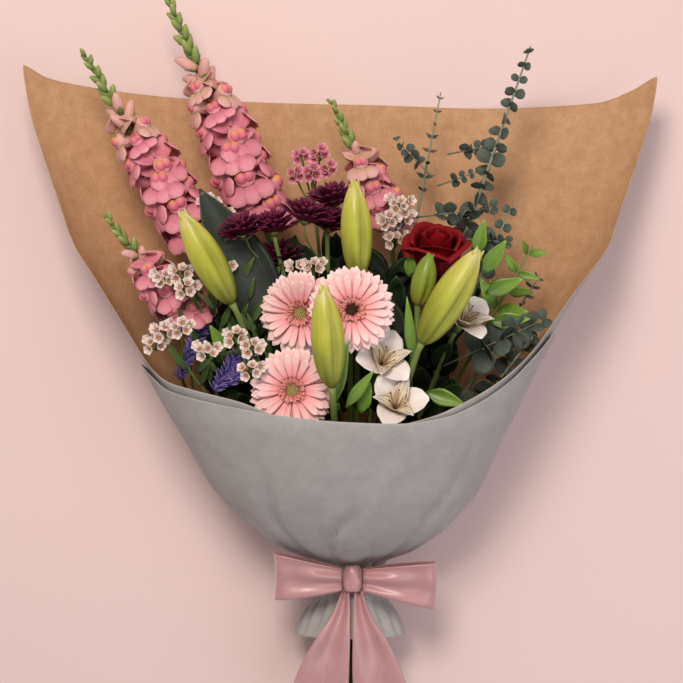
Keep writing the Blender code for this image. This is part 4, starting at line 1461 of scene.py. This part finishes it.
@dataclass
class Wrap:
    """The two sheets of paper: a back sheet with wings and a front collar outside it."""

    # Sections along y: half the width, the highest and lowest z, the middle's x and how round they are.
    half_width: Stations = ((-345, 56), (-326, 47), (-304, 34), (-273, 34), (-256, 64), (-237, 89),
                            (-211, 115), (-188, 132), (-147, 151), (-95, 178), (-62, 195), (-15, 222),
                            (25, 247), (56, 268), (102, 288), (154, 310), (195, 326), (242, 338))
    top: Stations = ((-345, 86), (-326, 81), (-304, 75), (-273, 75), (-256, 110), (-237, 144), (-211, 174),
                     (-188, 195), (-147, 225), (-116, 243), (-62, 254), (-15, 258), (242, 258))
    bottom: Stations = ((-345, 2), (-326, 5), (-304, 7), (-273, 7), (-256, 4), (-211, -1), (-147, -4),
                        (242, -4))
    centre: Stations = ((-345, 9), (-256, 9), (-147, 2), (-62, -1), (242, 0))
    roundness: Stations = ((-345, 2.0), (-256, 2.0), (-188, 2.5), (242, 2.6))
    # Each sheet's rim: the y where it ends at an angle round the bouquet.
    rim_right: Stations = ((0, 212), (25, 207), (50, 209), (62, 219), (73, 230), (76, 190), (80, 138),
                           (86, 78), (94, 38), (103, 8), (111, -46), (120, -70), (137, -97), (150, -112),
                           (172, -126))
    rim_left: Stations = ((0, 212), (25, 218), (50, 227), (62, 232), (73, 242), (76, 195), (80, 135),
                          (86, 70), (94, 2), (103, -62), (115, -80), (130, -88), (147, -98), (160, -113),
                          (172, -126))
    rim_front: Stations = ((80, -66), (95, -48), (103, -34), (111, -54), (120, -77), (137, -104),
                           (145, -112), (162, -118), (180, -116), (195, -112), (213, -104), (230, -96),
                           (245, -88), (257, -72), (268, -64), (280, -74))
    clearance: Stations = ((-273, 2.2), (-237, 4.5))
    skirt_end: float = -345.0
    pleats: int = 15

    def gather(self, angle: float, y: float) -> float:
        """How far the paper stands proud in its gathers, strongest just above and below the band.

        Args:
            angle: Round the bouquet, in degrees.
            y: Along it.

        Returns:
            The distance, in mm.
        """
        near = math.exp(-((y + 252) / 30) ** 2) + 0.9 * math.exp(-((y + 322) / 18) ** 2)
        turn = math.radians(angle)
        fold = abs(math.sin(self.pleats * turn / 2 + 0.9 * math.sin(3 * turn)))
        crease = abs(math.sin(4.3 * turn + y * 0.011)) ** 18
        dent = math.exp(-((angle - 187 + (y + 226) * 0.5) / 5) ** 2 - ((y + 226) / 16) ** 2)
        return 6.0 * near * (fold - 0.75) - 3.4 * crease * math.exp(-((y + 205) / 50) ** 2) - 7.0 * dent

    def point(self, angle: float, y: float, grown: float) -> Vector:
        """A point on the outside of a sheet: angle 0 is the back and 180 the front.

        Args:
            angle: Round the bouquet, in degrees.
            y: Along it.
            grown: How far outside the inner sheet.

        Returns:
            The point, in mm.
        """
        power = 2.0 / curve_through(self.roundness, y)
        top = curve_through(self.top, y) + grown
        bottom = curve_through(self.bottom, y) - grown
        sine, cosine = math.sin(math.radians(angle)), math.cos(math.radians(angle))
        if cosine < 0:
            power = 1.0
        proud = self.gather(angle, y)
        wide = (curve_through(self.half_width, y) + grown + proud) * math.copysign(abs(sine) ** power, sine)
        deep = ((top - bottom) / 2 + proud) * math.copysign(abs(cosine) ** power, cosine)
        return Vector((curve_through(self.centre, y) + wide, y, max(0.0, (top + bottom) / 2 - deep)))

    def sheet(self, name: str, angles: list[float], rim: Callable[[float], float], clearance: Stations,
              node: str, slot: str, finishes: list[Finish]) -> bpy.types.Object:
        """Builds one sheet with its thickness, grey outside and its inner finish inside.

        Args:
            name: The piece's name.
            angles: Where its columns stand, in degrees.
            rim: The y of its rim at an angle.
            clearance: How far it stands off, by y.
            node: The CAD node that it stands for.
            slot: The record's material slot.
            finishes: Its outer and inner finish.

        Returns:
            The piece.
        """
        shape = Shape()
        last = len(angles) - 1

        def place(u: float, v: float) -> Vector:
            """The sheet's point: v is bent so that rows are closer near the neck.

            Args:
                u: Across, from 0 to 1.
                v: Along, from 0 to 1.

            Returns:
                The point, in mm.
            """
            angle = angles[round(u * last)]
            y = self.skirt_end + (rim(angle) - self.skirt_end) * v**1.15
            return self.point(angle, y, curve_through(clearance, y))

        shape.grid(last, PAPER_ROWS, place)
        shape.bm.normal_update()
        lowest = min(shape.bm.faces, key=lambda face: face.calc_center_median().z)
        if lowest.normal.z > 0:  # the grey face is the outer one
            bmesh.ops.reverse_faces(shape.bm, faces=shape.bm.faces)
        piece = shape.finish(name, finishes, [node], slot)
        wall = piece.modifiers.new("paper", "SOLIDIFY")
        wall.thickness = PAPER_WALL * MM
        wall.offset = -1.0
        wall.material_offset = 1
        wall.material_offset_rim = 1
        return piece

    def build(self) -> None:
        """Builds both sheets."""

        def spaced(start: float, end: float, count: int) -> list[float]:
            """Evenly spaced values."""
            return [start + (end - start) * i / (count - 1) for i in range(count)]

        half = spaced(0, 73, 66) + spaced(73, 103, 48)[1:] + spaced(103, 172, 70)[1:]
        angles = [-a for a in reversed(half[1:])] + half
        self.sheet("kraft_back_sheet", angles,
                   lambda a: curve_through(self.rim_right if a > 0 else self.rim_left, abs(a)),
                   ((0, 0), (1, 0)), "back_sheet", "paper", [Finishes.GREY, Finishes.KRAFT])
        self.sheet("front_collar_sheet", spaced(80, 280, 180),
                   lambda a: curve_through(self.rim_front, a), self.clearance,
                   "front_sheet", "front_paper", [Finishes.GREY, Finishes.GREY])


@dataclass
class Bow:
    """The satin ribbon: a gathered band, a knot, two soft loops and two tails with slanted ends."""

    knot: Vector = field(default_factory=lambda: Vector((11.0, -283.0, 89.0)))
    wall: float = 0.5

    def strip(self, name: str, node: str, place: Callable[[float, float], Vector],
              detail: tuple[int, int]) -> None:
        """Args:
            name: The piece's name.
            node: The CAD node that it stands for.
            place: Gives the ribbon's point at (u, v).
            detail: Faces across and along.
        """
        shape = Shape()
        shape.grid(*detail, place, 0, self.wall)
        piece = shape.finish(name, [Finishes.SATIN], [node], "satin")

    def loop(self, side: str, length: float) -> None:
        """One loop: out from the knot over the top, round, and back underneath.

        Args:
            side: left or right.
            length: How far it reaches; negative to the left.
        """
        start = self.knot.x + math.copysign(11.0, length)
        reach = abs(length) - 10.5

        def place(u: float, v: float) -> Vector:
            """The loop's point, with soft folds that fan out from the knot.

            Args:
                u: Across, from 0 to 1.
                v: Along, from 0 to 1.

            Returns:
                The point, in mm.
            """
            turn = 0.05 + 0.9 * v
            out = math.sin(math.pi * turn)
            x = start + math.copysign(reach * max(0.0, out - 0.16) / 0.84, length)
            half = 6.0 + 19.0 * out**0.7
            edge = (u - 0.5) * 2 * half
            fold = 4.6 * (1 - 0.85 * out) * math.sin(u * math.tau * 1.9 + 0.6)
            fold -= 6.0 * math.exp(-((v - 0.25) / 0.075) ** 2 - ((u - 0.55) / 0.34) ** 2)
            z = self.knot.z + 6 + 15.0 * math.sin(math.tau * turn) + 0.42 * edge + fold
            lean = 0.05 * (x - start) * (-1.0 if length < 0 else -1.6)
            return Vector((x + 1.5 * math.sin(u * math.pi) * out, self.knot.y + edge + lean, z))

        self.strip(f"satin_loop_{side}", f"bow_loop_{side}", place, (20, 60))

    def tail(self, side: str, left: Stations, right: Stations) -> None:
        """One tail: narrow under the knot, then open, over the paper skirt and the stems.

        Args:
            side: left or right.
            left: The x of its left edge, by y.
            right: The x of its right edge, by y.
        """
        height = ((-428, 77.5), (-400, 80.5), (-372, 87.0), (-345, 91.5), (-318, 86.5), (-299, 84.0))

        def place(u: float, v: float) -> Vector:
            """The tail's point, with folds that run down from the knot and a slanted cut.

            Args:
                u: Across, from 0 to 1.
                v: Along, from 0 to 1.

            Returns:
                The point, in mm.
            """
            y = -297.0 - (131.0 - 14.0 * u) * v
            a, b = curve_through(left, y), curve_through(right, y)
            fold = 3.6 * math.sin(u * math.tau * 1.25 + 0.8) * (1 - 0.65 * v)
            fold -= 4.0 * math.exp(-((v - 0.45) / 0.13) ** 2 - ((u - 0.55) / 0.28) ** 2)
            return Vector((a + (b - a) * u, y, curve_through(height, y) + fold + 1.0))

        self.strip(f"satin_tail_{side}", f"bow_tail_{side}", place, (24, 60))

    def build(self) -> None:
        """Builds the whole bow."""

        def band(u: float, v: float) -> Vector:
            """The band round the neck, pressed into soft lengthways folds.

            Args:
                u: Across, from 0 to 1.
                v: Along, from 0 to 1.

            Returns:
                The point, in mm.
            """
            angle, edge = v * math.tau, (u - 0.5) * BAND_WIDTH
            r = BAND_RADIUS + 0.7 * math.sin(u * math.tau * 3 + math.sin(angle * 2))
            return NECK + Vector((r * math.sin(angle), edge, -r * math.cos(angle)))

        ring = Shape()
        ring.grid(16, 96, band, weld=True)
        piece = ring.finish("satin_band", [Finishes.SATIN], ["ribbon_band"], "satin")
        wall = piece.modifiers.new("satin", "SOLIDIFY")
        wall.thickness, wall.offset = self.wall * MM, 0.0
        knot = Shape()

        def pinch(angle: float, v: float) -> float:
            """Folds that run round the knot."""
            return 1.0 + 0.07 * math.sin(3 * angle + 5 * v)

        shares = [i / 16 for i in range(17)]
        run = [self.knot + Vector((0.5 * math.sin(s * 3), -15 + 30 * s, -1.0)) for s in shares]
        radii = [10.2 * math.sin(math.pi * (0.12 + 0.76 * s)) ** 0.45 for s in shares]
        knot.tube(run, radii, 0, 28, pinch)
        flatten = (Matrix.Translation(self.knot) @ Matrix.Diagonal((1, 0.86, 0.8, 1))
                   @ Matrix.Translation(-self.knot))
        bmesh.ops.transform(knot.bm, matrix=flatten, verts=knot.bm.verts)
        knot.finish("satin_knot", [Finishes.SATIN], ["bow_knot"], "satin")
        self.loop("left", -79.0)
        self.loop("right", 84.0)
        self.tail("left", ((-428, -60), (-400, -52), (-372, -42), (-345, -27), (-318, -9), (-299, -1)),
                  ((-428, 4), (-400, 7), (-372, 8), (-318, 9), (-299, 8)))
        self.tail("right", ((-428, 15), (-400, 12), (-372, 11), (-318, 12), (-299, 13)),
                  ((-428, 77), (-400, 69), (-372, 59), (-345, 46), (-318, 29), (-299, 22)))


def build_twine() -> None:
    """The twine round the stems: one turn of a two-ply cord, hidden under the paper."""
    shape = Shape()
    steps = 60
    path = [NECK + Vector((30.6 * math.cos(a), 0.0, 30.6 * math.sin(a)))
            for a in (math.tau * i / steps for i in range(steps))]
    shape.tube(path + [path[0] + Vector((0, 0.05, -0.4))], [1.1] * (steps + 1), 0, 8,
               lambda angle, v: 1 + 0.12 * math.sin(2 * angle + 120 * v))
    shape.finish("jute_binding", [Finishes.TWINE], ["binding_twine"], "twine")


# ------------------------------------------------------------------ studio


@dataclass
class Studio:
    """A pale floor, soft lights and the camera above the lying bouquet."""

    camera_height: float = 1.82
    camera_y: float = -0.0415
    focus_distance: float = 1.70
    view_width: float = 0.683

    def light(self, name: str, place: Point, aim: Point, size: float, power: float, tint: str) -> None:
        """Adds a soft square light.

        Args:
            name: Its name.
            place: Where it stands, in metres.
            aim: What it points at.
            size: Its side.
            power: In watts.
            tint: Its hex colour.
        """
        data = bpy.data.lights.new(name, "AREA")
        data.size, data.energy = size, power
        data.color = colour(tint)[:3]
        lamp = bpy.data.objects.new(name, data)
        lamp.location = place
        lamp.rotation_euler = (Vector(aim) - Vector(place)).to_track_quat("-Z", "Y").to_euler()
        bpy.context.scene.collection.objects.link(lamp)

    def build(self) -> None:
        """Builds the floor, the lights and the camera."""
        scene = bpy.context.scene
        mesh = bpy.data.meshes.new("floor")
        bm = bmesh.new()
        bmesh.ops.create_grid(bm, x_segments=1, y_segments=1, size=14.0)
        bmesh.ops.translate(bm, vec=(0, 0, -0.0005), verts=bm.verts)
        bm.to_mesh(mesh)
        bm.free()
        paint = bpy.data.materials.new("studio_floor_matt")
        paint.use_nodes = True
        shader = paint.node_tree.nodes["Principled BSDF"]
        shader.inputs["Base Color"].default_value = colour("#e9cfcb")
        shader.inputs["Roughness"].default_value = 0.9
        shader.inputs["Specular IOR Level"].default_value = 0.1
        mesh.materials.append(paint)
        floor = bpy.data.objects.new("studio_floor", mesh)
        scene.collection.objects.link(floor)
        self.light("key", (-0.25, 0.75, 1.75), (0, 0, 0.05), 0.6, 23, "#fff3e8")
        self.light("fill", (0.9, -0.7, 1.3), (0, 0, 0.1), 1.4, 7, "#f2f4ff")
        world = bpy.data.worlds.new("studio")
        world.use_nodes = True
        sky = world.node_tree.nodes["Background"]
        sky.inputs["Color"].default_value = colour("#f4efee")
        sky.inputs["Strength"].default_value = 0.45
        scene.world = world
        scene.view_settings.view_transform = "Standard"
        data = bpy.data.cameras.new("camera")
        data.sensor_width = 36.0
        data.lens = data.sensor_width * self.focus_distance / self.view_width
        data.clip_end = 20.0
        camera = bpy.data.objects.new("camera", data)
        camera.location = (0.0, self.camera_y, self.camera_height)
        scene.collection.objects.link(camera)
        scene.camera = camera


# ------------------------------------------------------------------ the bouquet


class Bouquet:
    """Builds the flowers, sprays and foliage of the bouquet."""

    def __init__(self) -> None:
        """Packs the stems."""
        self.stalks = all_stalks()

    def flowers(self) -> None:
        """The large blooms and buds."""
        s = self.stalks
        for name, length, florets, size, share in (
                ("snapdragon_tall", 247, 44, 1.3, 0.54), ("snapdragon_outer", 223, 40, 1.22, 0.56),
                ("snapdragon_short", 133, 26, 1.0, 0.5), ("snapdragon_back", 138, 26, 1.02, 0.46)):
            Snapdragon(s[name], length, florets, size, share).build()
        Gerbera(s["gerbera_left"], seed=2).build()
        Gerbera(s["gerbera_centre"], True, seed=3).build()
        Gerbera(s["gerbera_front"], seed=4).build()
        Lily(s["lily_left"], [LilyBud((-105, -5, 184), (-153, 82, 202), 17, 1)]).build()
        Lily(s["lily_back"], [LilyBud((16, 19, 188), (12, 112, 200), 16, 1)]).build()
        Lily(s["lily_front"], [LilyBud((-9, -84, 242), (-17, 10, 262), 16.5, 1)],
             [((-6, -100, 222), (6, -38, 216), 12), ((4, -104, 216), (30, -66, 214), 12),
              ((-2, -106, 214), (-14, -96, 226), 10)]).build()
        Lily(s["lily_right"], [LilyBud((76, -43, 207), (129, 45, 224), 18.5, 1),
                               LilyBud((73, -7, 190), (84, 42, 203), 12.5, 3)],
             [((68, -60, 196), (62, 4, 196), 11)], (66, -64, 190)).build()
        Rose(s["rose"]).build()
        for name, turn in (("alstroemeria_upper", 0.4), ("alstroemeria_lower", 1.3),
                           ("alstroemeria_right", 2.0)):
            Alstroemeria(s[name], turn).build()

    def sprays(self) -> None:
        """The branching stems of small flowers."""
        s = self.stalks
        for name, places in (("chrysanthemum_left", [(-66, 62, 146), (-93, 58, 158), (-60, 34, 118)]),
                             ("chrysanthemum_middle", [(-14, 66, 146), (-37, 72, 166), (-8, 90, 140)])):
            Chrysanthemum(s[name], places, [Finishes.STEM, Finishes.MUM], "chrysanthemum").build()
        places = [(-30, 128, 100), (-46, 127, 98), (-40, 146, 100), (-22, 147, 100), (-13, 132, 100)]
        Cluster(s["pink_spray"], places, [Finishes.STEM, Finishes.PINK, Finishes.WAX_HEART], "spray",
                petals=5, petal_size=(7.5, 6.0), count=5, spread=9, lean=0.8).build()
        wax = [Finishes.STEM, Finishes.WAX, Finishes.WAX_HEART]
        tops = {
            "waxflower_back": [(-133, 94, 120), (-119, 84, 120)],
            "waxflower_left": [(-155, 24, 170), (-150, 8, 176), (-172, 18, 166), (-117, 28, 150)],
            "waxflower_low_left": [(-171, -34, 180), (-154, -30, 186), (-180, -44, 174)],
            "waxflower_right": [(58, 94, 118), (46, 77, 124), (61, 80, 112), (54, 60, 116)],
            "waxflower_middle": [(-28, 30, 168), (-42, 26, 160)],
            "waxflower_front": [(-101, -38, 200), (-84, -48, 206), (-128, -52, 200), (-86, -70, 214)],
        }
        for name, places in tops.items():
            Cluster(s[name], places, wax, "waxflower").build()
        for name, places in (("statice_left", [(-160, -76, 108), (-150, -57, 106)]),
                             ("statice_front", [(-123, -88, 134), (-108, -82, 136)])):
            Statice(s[name], places, [Finishes.STEM, Finishes.VIOLET], "statice").build()

    def foliage(self) -> None:
        """The leaves."""
        s = self.stalks
        gum = (Finishes.GUM_LEAF, Finishes.GUM_TWIG, "eucalyptus")
        twigs = {
            "eucalyptus_tall": [((92, 128, 76), (54, 168, 78), 5, 0.62),
                                ((108, 150, 80), (161, 160, 88), 6, 0.6),
                                ((98, 118, 76), (146, 135, 74), 4, 0.42)],
            "eucalyptus_upper": [((118, 62, 108), (170, 58, 116), 5, 0.9),
                                 ((72, 84, 94), (158, 94, 106), 6, 1.0)],
            "eucalyptus_round": [((100, -66, 138), (204, -18, 146), 8, 1.05)],
        }
        for name, outline in (("eucalyptus_tall", Outline.ROUND), ("eucalyptus_thin", Outline.LANCE),
                              ("eucalyptus_upper", Outline.ROUND), ("eucalyptus_side", Outline.ROUND),
                              ("eucalyptus_round", Outline.ROUND)):
            LeafyStem(s[name], FOLIAGE[name], outline, *gum, twigs.get(name, [])).build()
        for name in ("ruscus_right", "ruscus_left"):
            LeafyStem(s[name], FOLIAGE[name], Outline.LANCE, Finishes.CUT_LEAF, Finishes.STEM, "ruscus",
                      scatter=0.2).build()
        LeafyStem(s["fern"], FOLIAGE["fern"], Outline.LANCE, Finishes.FILLER, Finishes.STEM, "leaf",
                  scatter=0.05).build()
        for name in ("filler_left", "filler_middle", "filler_right"):
            LeafyStem(s[name], FOLIAGE[name], Outline.OVATE, Finishes.FILLER, Finishes.STEM, "leaf").build()
        BroadLeaf(s["dark_leaf"]).build()
        Undergrowth().build()


def main() -> None:
    """Builds the studio and the bouquet."""
    logging.basicConfig(level=logging.INFO, format="%(message)s")
    Studio().build()
    bouquet = Bouquet()
    Wrap().build()
    Bow().build()
    build_twine()
    bouquet.foliage()
    bouquet.sprays()
    bouquet.flowers()
    bpy.context.view_layer.update()


if __name__ == "__main__":
    main()
